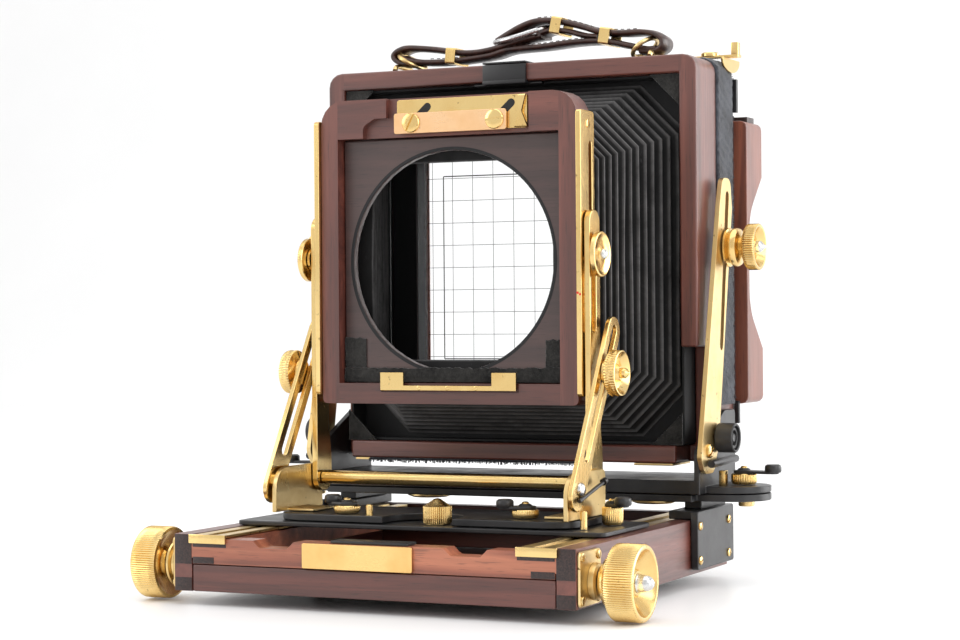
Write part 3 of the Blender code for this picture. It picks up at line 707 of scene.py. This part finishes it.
def lining():
    """The black lining between the bellows' rear end and the back, and round the film opening."""
    piece("frame_lining", LINING, "rear_frame",
          (sleeve, (76.7, 51.5, 202.5, -47), (76.7, 51.5, 202.5, -8.6), (75.9, 52.3, 201.7, -8.6),
           (75.9, 52.3, 201.7, -47)),
          (sleeve, (76.6, 51.6, 202.4, -35.3), (76.6, 51.6, 202.4, -34.5), (63.5, 65.5, 188.5, -34.5),
           (63.5, 65.5, 188.5, -35.3)))
    piece("back_mask", LINING, "back",
          (sleeve, (75.7, 58.6, 201.6, -8.2), (75.7, 58.6, 201.6, -7.7), (64.5, 76.5, 176.5, -7.7),
           (64.5, 76.5, 176.5, -8.2)),
          (sleeve, (63.95, 76.05, 176.95, -7.8), (63.95, 76.05, 176.95, 1.9), (63.75, 76.25, 176.75, 1.9),
           (63.75, 76.25, 176.75, -7.8)))


# ---------------------------------------------------------------- knobs

UP = (0, 0, 1)
FOCUS_AXIS = (-165, 9)
STEPS_A_TOOTH = 6


def saw(angle, count):
    return abs((angle * count / (2 * math.pi)) % 1.0 - 0.5) * 2


def straight_knurl(count):
    return lambda angle, height: saw(angle, count) ** 1.5


def diamond_knurl(count, lean):
    return lambda angle, height: 1 - ((1 - saw(angle + height * lean, count))
                                      * (1 - saw(angle - height * lean, count)))


def rim(low, high, radius, depth, steps=4):
    """The knurled face of a knob's rim, from top to foot."""
    return [(radius, high - (high - low) * i / steps, depth) for i in range(steps + 1)]


def knob(name, profile, centre, axis, wave, count, body=None):
    """A knurled brass knob, in place of its CAD node."""
    piece(name, BRASS, body or name, (turned, profile, centre, axis, count * STEPS_A_TOOTH, wave), sharp=40,
          replaces=name)


def focus_knobs():
    profile = [(0, 13.2), (4.4, 13.2), (5.0, 12.6), (5.2, 9.6), (6.0, 9.0), (11.4, 14.6), (12.1, 16.0),
               (12.9, 16.2), (13.6, 15.9), *rim(5.7, 15.4, 14.0, 0.38), (13.6, 5.1), (12.7, 4.8), (11.6, 5.3),
               (7.6, 7.4), (5.6, 7.2), (5.2, 6.0), (5.2, 4.4), (7.2, 4.0), (8.6, 3.4), (9.0, 2.6), (8.8, 1.8),
               (7.0, 1.4), (6.6, 0.2), (0, 0)]
    point = [(0, 19.3), (1.0, 19.1), (2.1, 18.3), (2.9, 16.9), (3.2, 15.4), (3.3, 13.9), (3.6, 13.5),
             (3.6, 13.0), (0, 12.9)]
    collar = [(0, 2.4), (5.8, 2.4), (6.6, 1.6), (6.8, -0.4), (0, -0.4)]
    flange = rounded_outline((-178.3, -158.5), (0.8, 20.6), 1.6)
    corners = ((-176, 18.6, 20), (-161, 18.4, 70), (-176, 3.0, 50), (-161, 3.0, 110))
    for side, sign in SIDES.items():
        out = (sign, 0, 0)
        seat = (sign * 88.3, *FOCUS_AXIS)
        knob("focus_knob_" + side, profile, seat, out, straight_knurl(96), 96, "focus_drive")
        piece("focus_knob_screw_" + side, STEEL, "focus_drive", (turned, point, seat, out, 32))
        piece("focus_flange_" + side, BRASS_AGED, "bed",
              (plate, flange, "X", (sign * 83.6, sign * 84.7), 0.3),
              *[(screw, (sign * 84.8, y, z), out, 1.7, 0.7, turn) for y, z, turn in corners],
              (turned, collar, (sign * 85.2, *FOCUS_AXIS), out, 48))


def front_knobs():
    """The deeply dished strut knobs and tilt knobs, each with a pointed screw in its middle."""
    strut = [(0, 6.2), (2.6, 6.2), (3.0, 5.6), (3.6, 4.4), (6.0, 4.2), (7.5, 6.2), (8.2, 6.8), (8.7, 6.7),
             *rim(2.9, 6.3, 9.0, 0.32), (8.6, 2.4), (7.2, 1.9), (5.2, 0.9), (5.2, 0), (0, 0)]
    strut_point = [(0, 9.9), (0.5, 9.6), (1.7, 8.5), (2.0, 8.0), (2.0, 6.0), (0, 5.9)]
    tilt = [(0, 2.0), (2.2, 2.0), (2.5, 1.5), (5.8, 1.2), (7.2, 1.8), (8.0, 2.2), (8.6, 2.1),
            *rim(0.3, 1.9, 9.0, 0.3, 3), (8.5, 0.05), (0, 0)]
    tilt_screw = [(0, 4.2), (0.9, 4.0), (1.7, 3.4), (2.1, 2.7), (2.1, 1.9), (0, 1.8)]
    for side, sign in SIDES.items():
        out = (sign, 0, 0)
        name = "strut_knob_" + side
        centre = seat_of(name, sign)
        knob(name, strut, centre, out, diamond_knurl(54, 0.16), 54)
        piece("strut_knob_point_" + side, BRASS, name, (turned, strut_point, centre, out, 24))
        name = "tilt_knob_" + side
        centre = seat_of(name, sign)
        knob(name, tilt, centre, out, diamond_knurl(54, 0.10), 54)
        piece("tilt_knob_screw_" + side, STEEL, name, (turned, tilt_screw, centre, out, 24))


def rear_knobs():
    """The knobs that lock the rear struts, and the black knobs over the rear frame's pivots."""
    strut = [(0, 12.6), (2.6, 12.4), (3.2, 11.4), (6.2, 10.6), (7.6, 12.8), (8.2, 13.6), (9.0, 13.7),
             *rim(9.2, 13.3, 9.5, 0.36), (9.1, 8.8), (8.2, 8.3), (6.4, 8.0), (4.7, 7.3), (4.2, 6.6),
             (4.7, 5.9), (7.4, 5.2), (7.9, 4.4), (8.1, 3.2), (7.6, 2.4), (6.4, 2.0), (7.0, 1.4), (8.0, 0.9),
             (8.0, 0.2), (0, 0)]
    point = [(0, 16.8), (0.4, 16.5), (1.2, 15.2), (2.3, 14.2), (2.5, 13.6), (2.3, 12.2), (0, 12.2)]
    pivot = [(0, 6.7), (1.5, 6.7), (1.9, 6.3), (1.9, 5.6), (3.0, 5.6), (3.2, 6.8), (4.2, 6.8), (4.4, 5.8),
             (4.8, 5.8), (5.0, 7.6), (5.6, 7.8), (6.0, 7.4), (6.0, 0.6), (5.4, 0), (0, 0)]
    for side, sign in SIDES.items():
        out = (sign, 0, 0)
        name = "rear_strut_knob_" + side
        centre = seat_of(name, sign)
        knob(name, strut, centre, out, straight_knurl(62), 62)
        piece("rear_strut_knob_point_" + side, STEEL, name, (turned, point, centre, out, 32))
        name = "rear_pivot_knob_" + side
        piece(name, BLACK, name, (turned, pivot, seat_of(name, sign), out, 48), replaces=name)


def swing_lock():
    """The small knurled knob with a cone on top that stands in front of the swing plate."""
    name = "swing_lock_knob"
    low, high = design_box(name)
    profile = [(0, 10.0), (1.3, 9.7), (2.1, 9.1), (4.9, 7.2), *rim(0.5, 6.9, 5.6, 0.3, 3), (5.2, 0.2),
               (5.2, 0), (0, 0)]
    knob(name, profile, ((low.x + high.x) / 2, (low.y + high.y) / 2, low.z), UP, straight_knurl(40), 40)


def lever(name, boss, grip, height, nut=5.2):
    """A lock lever: knurled brass nut, black arm and a small round black grip."""
    base = design_box(name)[0].z
    top = base + height
    arm = top - 3.9
    direction = Vector(grip) - Vector(boss)
    turn = math.degrees(math.atan2(direction.y, direction.x))
    outline = arc(grip, 2.4, turn - 90, turn + 90, 8) + arc(boss, nut - 1.0, turn + 90, turn + 270, 10)
    grip_profile = [(0, top), (2.5, top), (3.2, top - 0.5), (3.4, top - 1.2), (3.4, arm + 1.2),
                    (3.0, arm + 0.6), (1.9, arm + 0.5), (1.9, arm), (0, arm)]
    cap_profile = [(r, arm + h) for r, h in ((0, 2.2), (1.9, 2.1), (2.6, 1.6), (2.6, 1.1), (0, 1.1))]
    piece(name, BLACK, name, (plate, outline, "Z", (arm, arm + 1.2), 0.2),
          (turned, grip_profile, (*grip, 0), UP, 32), (turned, cap_profile, (*boss, 0), UP, 24),
          replaces=name)
    nut_profile = [(0, arm - 0.1), (nut - 0.4, arm - 0.1), (nut - 0.2, arm - 0.4),
                   *rim(base + 1.0, arm - 0.5, nut, 0.22, 2), (nut - 0.2, base + 0.8),
                   (nut - 0.5, base + 0.1), (0, base + 0.1)]
    tip_profile = [(r, arm + h) for r, h in ((0, 3.0), (0.9, 2.9), (1.4, 2.5), (1.4, 2.0), (0, 2.0))]
    piece("nut_" + name, BRASS, name,
          (turned, nut_profile, (*boss, 0), UP, 32 * STEPS_A_TOOTH, straight_knurl(32)),
          (turned, tip_profile, (*boss, 0), UP, 24), sharp=40)


def levers():
    lever("carriage_lever", (70.4, -111), (76, -114.5), 11, 4.1)
    lever("swing_lever_right", (41, -127), (34, -130.5), 7.2)
    lever("swing_lever_left", (-34.3, -130.6), (-41.5, -129), 7)
    lever("rear_lever_right", (98.5, -37), (111.5, -39), 8.4)
    lever("rear_lever_left", (-98.5, -37), (-111.5, -39), 8.4)


# ---------------------------------------------------------------- fittings

FRONT_STRUT_PIVOT = (-134, 39.3)
REAR_STRUT_PIVOT = (-55.5, 49.7)
LENS_CENTRE_Z = 126.6
LOCK_SCREWS_X = (-14.7, 21.9)


def side_plate_screws():
    for side, sign in SIDES.items():
        low, high = design_box("side_plate_" + side)
        outer = sign * max(abs(low.x), abs(high.x))
        turns = iter((15, 60, 100, 35))
        piece("side_plate_screws_" + side, BRASS, "bed",
              *[(screw, (outer, y, z), (sign, 0, 0), 1.8, 0.9, next(turns))
                for y in (low.y + 2.3, high.y - 7.2) for z in (low.z + 3.8, high.z - 6.0)])


def strut_rivets():
    """Rivets on the struts' pivots, and the bushes that hold the struts off the brackets."""
    rivet = [(0, 2.0), (1.2, 1.9), (2.2, 1.3), (2.6, 0.5), (2.6, 0), (0, -0.1)]
    bush = [(0, 0.95), (3.4, 0.95), (3.4, 0), (0, 0)]
    pin = [(0, 1.6), (1.3, 1.5), (1.5, 0.9), (1.5, 0), (0, -0.1)]
    for side, sign in SIDES.items():
        out = (sign, 0, 0)
        piece("front_rivet_" + side, STEEL, "front_struts",
              (turned, rivet, (sign * 66.4, *FRONT_STRUT_PIVOT), out, 32))
        piece("front_bush_" + side, BRASS, "front_swing",
              (turned, bush, (sign * 63.62, *FRONT_STRUT_PIVOT), out, 32),
              (turned, pin, (sign * 63.6, -128.5, 33), out, 20))
        piece("rear_rivet_" + side, BRASS, "rear_struts",
              (screw, (sign * 90.05, *REAR_STRUT_PIVOT), out, 2.9, 1.5, 35, 0.9))
        piece("side_strip_screws_" + side, BRASS, "lens_frame",
              *[(screw, (sign * 58.6, -104.5, z), out, 1.7, 0.35, 55) for z in (178.8, 76.5)])


def lock_screws():
    """The two large slotted screws of the lens-board lock, and the small ones along the rest."""
    toward = (0, -1, 0)
    piece("lock_screws", BRASS, "lens_frame",
          *[(screw, (x, -111.2, 181.7), toward, 3.9, 1.1, turn, 0.9)
            for x, turn in zip(LOCK_SCREWS_X, (62, 4))])
    piece("board_rest_screws", BRASS, "lens_frame",
          *[(screw, (x, -111.3, 76.1), toward, 0.9, 0.3, 30) for x in (-12, 0.5, 13)])


def track_ends():
    """The folded brass ends of the tracks, over the extension's front rail."""
    for side, sign in SIDES.items():
        piece("track_end_" + side, BRASS, "extension",
              (block, (sign * 60.4, sign * 76.6), (-180.2, -179.3), (18.4, 21.9), 0.3))
    piece("rail_stop", BLACK, "extension", (block, (-15.5, 16.5), (-178.8, -171), (20.4, 21.4), 0.25))


def finger_joints():
    """End grain that shows where the rails are finger-jointed."""
    rails, corners = (-179.12, -178.8), (3.0, 12.0)
    joints = (("extension", rails, ((60.6, 75.3, 17.0, 20.1), (66.0, 75.3, 10.7, 13.2))),
              ("bed", rails, ((75.9, 83.3, 0.2, 5.2), (75.9, 83.3, 10.4, 21.6))),
              ("film_frame", corners, ((80.0, 87.7, 183.0, 188.35), (80.0, 87.7, 68.65, 74.0))))
    for side, sign in SIDES.items():
        for body, y, strips in joints:
            piece(body + "_joint_" + side, END_GRAIN, body,
                  *[(block, (sign * x0, sign * x1), y, (z0, z1), 0.05) for x0, x1, z0, z1 in strips])


def standard_fittings():
    """Pins, stops and rods on the front and rear standards."""
    pin = [(0, 7.2), (1.1, 7.1), (1.35, 6.8), (1.35, 0.2), (0, 0)]
    piece("carriage_pins", BRASS, "carriage",
          *[(turned, pin, (x, y, 24.0), UP, 20) for x, y in ((67.5, -133.0), (-22.6, -134.0))])
    ball = [(0, 1.2), (1.4, 1.0), (1.4, -1.0), (0, -1.2)]
    disc = [(0, 2.6), (8.6, 2.6), (9.7, 1.9), (9.7, 1.1), (7.6, 0.3), (0, 0)]
    washer = [(0, 2.6), (3.3, 2.6), (3.3, 0.3), (2.9, 0), (0, 0)]
    for side, sign in SIDES.items():
        x = sign * 67.6
        piece("front_link_" + side, BLACK, "front_swing",
              (wire, [(x, -137.3, 35.0), (x, -125.0, 37.9), (x, -113.2, 40.6)], 0.8),
              (turned, ball, (x, -112.6, 40.8), (0, 1, 0.2), 16))
        x = sign * 92.0
        piece("rear_link_" + side, BLACK, "rear_yoke",
              (wire, [(x, -58.5, 44.6), (x, -43.0, 44.9), (x, -28.0, 45.2)], 1.6))
        piece("rear_stop_" + side, BRASS, "rear_yoke",
              (block, (sign * 90.6, sign * 93.4), (-45.5, -42.0), (35.0, 41.2), 0.3))
        piece("swing_washer_" + side, BRASS_AGED, "bed",
              (turned, disc, (59.5 if sign > 0 else -44.0, -37, 26.3), UP, 48),
              (turned, washer, (sign * 99.5, -37, 26.4), UP, 32))


def felt_and_gussets():
    """The felt round the lens opening's foot, the rear frame's black gussets and the catch clip."""
    draw = random.Random(5)

    def ragged(x, z):
        (x0, x1), (z0, z1) = x, z
        across, high = [max(2, int((end - start) / 1.5)) for start, end in (x, z)]
        top = [(x0 + (x1 - x0) * i / across, z1 + draw.uniform(-0.35, 0.35)) for i in range(across, -1, -1)]
        left = [(x0 + draw.uniform(-0.2, 0.3), z0 + (z1 - z0) * i / high) for i in range(high - 1, 0, -1)]
        return [(x0, z0), (x1, z0)] + [(x1, z0 + (z1 - z0) * i / high) for i in range(1, high)] + top + left

    piece("lens_felt", FELT, "lens_frame",
          (plate, ragged((-48.2, 48.2), (78.3, 83.9)), "Y", (-106.1, -104.95), 0.3),
          (plate, ragged((-48.2, -38.5), (84.2, 96.0)), "Y", (-105.7, -104.95), 0.3),
          (plate, ragged((40.5, 48.2), (84.2, 95.0)), "Y", (-105.7, -104.95), 0.3), smooth=False)
    inside, leg = 76.7, 13
    for side, sign in SIDES.items():
        corners = [[(sign * inside, z), (sign * (inside - leg), z), (sign * inside, z + rise)]
                   for z, rise in ((202.5, -leg), (51.4, leg))]
        piece("rear_gussets_" + side, FELT, "rear_frame",
              *[(plate, corner, "Y", (-50.2, -48.8), 0.3) for corner in corners])
        piece("foot_strip_" + side, BRASS_AGED, "rear_frame",
              (block, (sign * 56, sign * 73), (-51, -30), (43.0, 43.9), 0.2))
    piece("catch_clip", BLACK, "rear_frame",
          (block, (-10.0, 9.8), (-53.4, -52.1), (202.9, 210.0), 0.35),
          (block, (-10.0, 9.8), (-53.6, -46.0), (201.7, 203.4), 0.35),
          (block, (-15.5, 15.5), (-49.5, -46.0), (201.6, 202.5), 0.2),
          (block, (-10.0, 9.8), (-53.4, -40.0), (210.3, 211.1), 0.3))


def opening_ring():
    """The dark edge of the lens opening."""
    steps = 96
    turns = [2 * math.pi * i / steps for i in range(steps)]
    rings = [[(radius * math.cos(turn), y, LENS_CENTRE_Z + radius * math.sin(turn)) for turn in turns]
             for radius, y in ((44.2, -105.12), (45.5, -105.12), (45.5, -104.9), (44.2, -104.9))]
    piece("opening_ring", LINING, "lens_frame", (loft, rings, False), slot="rosewood")


def lock_details():
    """The slanted slots of the lens-board lock, and the tab at its end for the finger."""
    low, high = design_box("lock_slide")
    slots = [arc((x + 6.4, 188.0), 1.6, -50, 130, 8) + arc((x + 2.0, 184.0), 1.6, 130, 310, 8)
             for x in LOCK_SCREWS_X]
    piece("lock_slots", LINING, "lock_slide",
          *[(plate, slot, "Y", (low.y - 0.08, low.y + 0.3), 0.04) for slot in slots], slot="brass")
    fold = [(high.x - 3.4, high.z - 0.3), (high.x - 0.2, high.z - 0.3), (high.x - 1.6, high.z - 7.0),
            (high.x + 0.6, low.z + 0.2), (high.x - 5.0, low.z + 0.2)]
    piece("lock_tab", BRASS, "lock_slide", (plate, fold, "Y", (low.y - 1.5, low.y), 0.4))


def back_fittings():
    """The latch on top of the rear frame, its catch plate, and the clips along the back."""
    low = design_box("back_latch")[0]
    boss = [(0, 2.6), (3.4, 2.6), (3.9, 2.1), (3.9, 1.0), (0, 1.0)]
    piece("latch", BRASS, "back_latch",
          (block, (low.x + 6, 90.0), (-15.4, -10.6), (low.z, low.z + 1.2), 0.25),
          (turned, boss, (77, -13, low.z), UP, 40),
          (block, (86.6, 89.8), (-14.6, -11.4), (low.z + 1.0, low.z + 6.4), 0.4), replaces="back_latch")
    hang = [(y, 211.0 + z * 0.48) for y, z in arc((-11, 0), 10.8, 180, 360, 16)]
    hang += [(-0.2, 211.6), (-21.8, 211.6)]
    piece("latch_catch", BRASS, "rear_frame", (plate, hang, "X", (84.6, 85.7), 0.2))
    for side, sign in SIDES.items():
        piece("back_clips_" + side, BLACK, "back",
              *[(block, (sign * 84.6, sign * 86.6), (-7.4, -5.4), z, 0.25)
                for z in ((189.5, 203.5), (58.6, 68.0))])


def foot_pile():
    """The fringed pile under the rear frame's foot."""
    draw = random.Random(3)
    left, right, tufts = -66, 34, 150
    parts = [(block, (left, right), (-51.6, -30), (43.1, 43.95), 0.2)]
    for i in range(tufts):
        x = left + (right - left) * i / tufts + draw.uniform(-0.2, 0.2)
        drop = draw.uniform(0.5, 1.5)
        parts.append((block, (x, x + 0.35), (-51.8, -51.3), (43.4 - drop, 43.6), 0))
    piece("foot_pile", LOOPS, "rear_frame", *parts, smooth=False)


def index_dots():
    """The small red dots that mark the tilt's zero."""
    dot = [(0, 0.12), (0.45, 0.1), (0.5, 0), (0, -0.05)]
    places = (((57.0, -112.0, 113.2), (0, -1, 0)), ((58.0, -112.0, 112.6), (0, -1, 0)),
              ((58.6, -108.6, 112.6), (1, 0, 0)))
    piece("index_dots", RED_PAINT, "lens_frame", *[(turned, dot, place, axis, 16) for place, axis in places])


def glass_grid():
    """The ruled lines on the ground glass: a 10 mm grid and the frame line of the picture."""
    low, high = design_box("ground_glass")
    middle = (low.z + high.z) / 2
    depth = (low.y - 0.05, low.y - 0.02)
    fine, heavy, edge, pitch = 0.11, 0.24, 1.5, 10
    half_x, half_z = 54.5, 41
    lines = [((pitch * k - fine, pitch * k + fine), (low.z + edge, high.z - edge)) for k in range(-6, 7)]
    lines += [((low.x + edge, high.x - edge), (middle + pitch * k - fine, middle + pitch * k + fine))
              for k in range(-4, 5)]
    for x, z in ((-half_x, middle - half_z), (half_x, middle + half_z)):
        lines += [((x - heavy, x + heavy), (middle - half_z, middle + half_z)),
                  ((-half_x, half_x), (z - heavy, z + heavy))]
    piece("glass_grid", INK, "film_frame", *[(block, x, depth, z, 0) for x, z in lines], smooth=False)


def band_line():
    """Close points along the rear frame's outside, up the right side, over the top and down the left."""
    low, high = design_box("rear_frame")
    half, top, bend = high.x, high.z, 6
    route = [(half, 67.0), (half, top - bend)]
    route += [(half - bend + bend * math.cos(a), top - bend + bend * math.sin(a)) for a in (0.4, 0.8, 1.2)]
    route.append((half - bend, top))
    route += [(-x, z) for x, z in route[::-1]]
    line = []
    for (x0, z0), (x1, z1) in zip(route, route[1:]):
        steps = max(1, int(math.hypot(x1 - x0, z1 - z0) / 1.3))
        line += [(x0 + (x1 - x0) * i / steps, z0 + (z1 - z0) * i / steps) for i in range(steps)]
    return line + [route[-1]]


def hook_loop_band():
    """The fuzzy hook-and-loop band round the rear frame, with its looped edge."""
    draw = random.Random(11)
    line = band_line()
    across = [-28.2 + 20.0 * i / 16 for i in range(17)]
    rings = []
    for i, (x, z) in enumerate(line):
        x0, z0 = line[max(i - 1, 0)]
        x1, z1 = line[min(i + 1, len(line) - 1)]
        length = math.hypot(x1 - x0, z1 - z0)
        nx, nz = (z1 - z0) / length, -(x1 - x0) / length
        if nx * x + nz * (z - 126) < 0:
            nx, nz = -nx, -nz
        ring = []
        for j, y in enumerate(across):
            rib = 0.5 * (0.5 + 0.5 * math.sin(i * 1.9 + j * 0.9))
            lift = 0.55 + rib + draw.uniform(0, 0.3)
            if j in (0, len(across) - 1):
                lift = 0.25
            ring.append((x + nx * lift, y + (draw.uniform(-0.25, 0.25) if j else 0), z + nz * lift))
        ring += [(x + nx * 0.03, y, z + nz * 0.03) for y in (across[-1], across[0])]
        rings.append(ring)
    piece("hook_loop_band", LOOPS, "rear_frame", (loft, rings), sharp=70)
    loops = []
    for (x, z), (x1, z1) in zip(line, line[1:]):
        length = math.hypot(x1 - x, z1 - z)
        wide = Vector((x1 - x, 0, z1 - z)).normalized() * 0.16
        for k in range(2):
            share = (k + draw.uniform(0, 0.6)) / 2
            px, pz = x + (x1 - x) * share, z + (z1 - z) * share
            nx, nz = abs(z1 - z) / length * math.copysign(1, px), abs(x1 - x) / length
            thick = Vector((nx, 0, nz)) * 0.12
            # The band's front edge, which faces the lens, has half as many loops, and shorter ones.
            edges = [(across[-1] + 0.1, 1.0)] + ([] if k else [(across[0] - 0.1, -0.55)])
            for edge, way in edges:
                reach = draw.uniform(0.7, 1.3) * way
                base = Vector((px + nx * 0.35, edge, pz + nz * 0.35))
                tip = base + Vector((nx * draw.uniform(0.0, 0.5), reach, nz * draw.uniform(0.0, 0.5)))
                corners = (-wide - thick, wide - thick, wide + thick, thick - wide)
                loops.append((loft, [[end + corner for corner in corners] for end in (base, tip)]))
    piece("hook_loop_fringe", LOOPS, "rear_frame", *loops, smooth=False)


# ---------------------------------------------------------------- carrying handle

HANDLE_Y = -20.0
STRAP = 13.0


def ring_loop(bm, centre, lean):
    """A D-ring of round wire, leaning over about Y."""
    lean = math.radians(lean)
    route = []
    for i in range(12):
        angle = 2 * math.pi * i / 12
        across, up = math.cos(angle) * 8.5, math.sin(angle) * 5.75
        route.append((centre[0] + up * math.sin(lean), HANDLE_Y + across, centre[1] + up * math.cos(lean)))
    wire(bm, route, 1.0, closed=True)


def keeper(bm, centre, height, lean):
    """A flat brass band round the straps."""
    lean = math.radians(lean)
    along = Vector((math.cos(lean), 0, math.sin(lean)))
    up = Vector((-math.sin(lean), 0, math.cos(lean)))
    middle = Vector((centre[0], HANDLE_Y, centre[1]))
    half_y, half_up, wall, half_width = STRAP / 2 + 0.9, height / 2, 0.7, 2.3
    rings = []
    for inset, radius, way in ((0, 0.9, 1), (wall, 0.5, -1)):
        y, z = half_y - inset, half_up - inset
        outline = rounded_outline((-y, y), (-z, z), radius, 3)
        for place in (-way * half_width, way * half_width):
            rings.append([middle + along * place + Vector((0, y, 0)) + up * z for y, z in outline])
    loft(bm, rings, wrap=False)


def stitches(bm, route):
    """Rows of thread along both edges of a strap."""
    section = ((-0.2, -0.2), (0.2, -0.2), (0.2, 0.08), (-0.2, 0.08))
    line = catmull([(x, z, 0) for x, z in route], 24)
    walked, last = 0.0, line[0]
    for here in line[1:]:
        walked += (here - last).length
        if walked > 2.6:
            run = (here - last).normalized()
            normal = Vector((-run.y, run.x, 0))
            ends = [here + normal * 1.38 + run * step for step in (-0.75, 0.75)]
            for side in (-1, 1):
                y = HANDLE_Y + side * (STRAP / 2 - 1.4)
                loft(bm, [[(p.x + normal.x * h, y + w, p.y + normal.y * h) for w, h in section]
                          for p in ends])
            walked = 0.0
        last = here


def handle():
    """The leather carrying strap, doubled back through its rings, buckle and keepers."""
    under = [(-62.0, 218.9), (-58.0, 217.4), (-50.0, 216.4), (-37.0, 216.3), (-20.0, 217.6), (-10.6, 219.6),
             (6.0, 220.2), (20.0, 221.2), (33.0, 220.9), (43.3, 218.7), (52.0, 216.6), (57.5, 216.4)]
    left = [(-56.0, 216.0), (-62.0, 216.4), (-65.6, 218.2), (-66.2, 220.4), (-63.3, 222.4), (-58.3, 223.2),
            (-47.2, 222.0), (-37.0, 220.2), (-28.0, 219.4), (-19.0, 220.2), (-8.2, 222.6), (0.0, 224.3),
            (5.0, 224.8)]
    top = [(-16.0, 223.8), (-11.0, 226.4), (-5.0, 229.2), (1.4, 231.1), (8.0, 231.3), (14.0, 230.4),
           (22.6, 228.0), (31.8, 225.0), (42.2, 223.9), (50.2, 223.8), (56.0, 222.6), (59.6, 220.2),
           (59.6, 217.2), (56.4, 215.4), (50.0, 215.6)]
    tongue = [(2.5, 224.6), (6.0, 226.4), (11.0, 226.9), (17.0, 226.0), (24.0, 224.0), (31.0, 223.0)]
    straps = ((under, 1.9), (left, 1.9), (top, 1.9), (tongue, 1.7))
    piece("handle_strap", LEATHER, "rear_frame",
          *[(ribbon, route, STRAP, thickness, HANDLE_Y) for route, thickness in straps],
          sharp=50, replaces="carrying_handle")
    piece("handle_keepers", BRASS, "rear_frame", (keeper, (-37.6, 218.3), 7.0, -6),
          (keeper, (12.3, 228.6), 7.4, -12), (keeper, (34.6, 222.8), 7.2, -10))
    staples = []
    for x in (-64.0, 55.6):
        bow = [(x, y, z) for y, z in ((-28.5, 213.0), (-26.5, 214.8), (-20.0, 215.1), (-13.5, 214.8),
                                      (-11.5, 213.0))]
        staples += [(plate, rounded_outline((x - 4.5, x + 4.5), (-28, -12), 1.2), "Z", (212.1, 213.1), 0.2),
                    (wire, bow, 1.1)]
    piece("handle_rings", BRASS_AGED, "rear_frame", (ring_loop, (-59.5, 217.4), -58),
          (ring_loop, (50.5, 217.6), 52), *staples)
    buckle = []
    for i in range(20):
        angle = 2 * math.pi * i / 20
        reach = math.cos(angle) * 13.0
        buckle.append((-6.0 + reach * 0.97, HANDLE_Y + math.sin(angle) * 8.6,
                       225.2 + reach * 0.20 + 0.8 * math.cos(angle * 2)))
    prong = [(x, HANDLE_Y, z) for x, z in ((-17.5, 223.4), (-9.0, 227.0), (-1.0, 228.4), (6.0, 228.2))]
    piece("handle_buckle", STEEL, "rear_frame", (wire, buckle, 1.15, True), (wire, prong, 0.85))
    piece("handle_stitches", THREAD, "rear_frame", (stitches, under[2:-2]), (stitches, top[3:-5]),
          smooth=False)


# ---------------------------------------------------------------- studio

def area_light(name, place, size, power):
    """A soft box that points at the middle of the object."""
    data = bpy.data.lights.new(name, "AREA")
    data.shape, data.size, data.size_y, data.energy = "RECTANGLE", *size, power
    light = placed(name, data)
    light.location = place
    light.rotation_mode = "QUATERNION"
    light.rotation_quaternion = (Vector((0, 0, 0.11)) - Vector(place)).to_track_quat("-Z", "Y")


def studio():
    """A seamless pale table and backdrop, lit from large soft boxes."""
    bm = bmesh.new()
    wide, front, back, high, bend = 4.0, -2.2, 2.2, 3.0, 0.9
    profile = [(front, 0.0), (back - bend, 0.0)]
    profile += [(back - bend + bend * math.sin(a), bend - bend * math.cos(a))
                for a in (math.pi / 2 * i / 12 for i in range(1, 13))]
    profile.append((back, high))
    rows = [[bm.verts.new((x, y, z)) for x in (-wide, wide)] for y, z in profile]
    for a, b in zip(rows, rows[1:]):
        bm.faces.new((a[0], a[1], b[1], b[0]))
    mesh = bpy.data.meshes.new("backdrop")
    bm.to_mesh(mesh)
    bm.free()
    mesh.shade_smooth()
    made, shader, place = new_material("backdrop_paper")
    shade = noise(place, 6, 2, 0.5)
    surface(shader, colour=ramp(shade, (0.2, 0.90), (0.8, 0.92)), rough=0.32, shine=0.35)
    mesh.materials.append(made)
    placed("backdrop", mesh)
    world = bpy.data.worlds.new("studio")
    world.use_nodes = True
    background = world.node_tree.nodes["Background"]
    background.inputs["Color"].default_value = (1.0, 1.0, 1.0, 1)
    background.inputs["Strength"].default_value = 0.96
    bpy.context.scene.world = world
    area_light("top_box", (0.1, -0.1, 1.5), (1.6, 1.6), 10)
    area_light("left_box", (-1.3, -0.9, 0.8), (1.0, 1.2), 9)
    area_light("right_box", (1.5, -0.5, 0.7), (0.9, 1.2), 9)
    area_light("back_right_box", (1.5, 1.15, 0.45), (1.3, 1.3), 26)
    bpy.context.scene.view_settings.view_transform = "Standard"


# ---------------------------------------------------------------- assembly

for build in (make_camera, studio, dress_cad_nodes, make_bellows, lining, focus_knobs, front_knobs,
              rear_knobs, swing_lock, levers, side_plate_screws, strut_rivets, lock_screws,
              track_ends, finger_joints, standard_fittings, felt_and_gussets, opening_ring,
              lock_details, back_fittings, foot_pile, index_dots, glass_grid, hook_loop_band, handle):
    build()

bpy.context.view_layer.update()
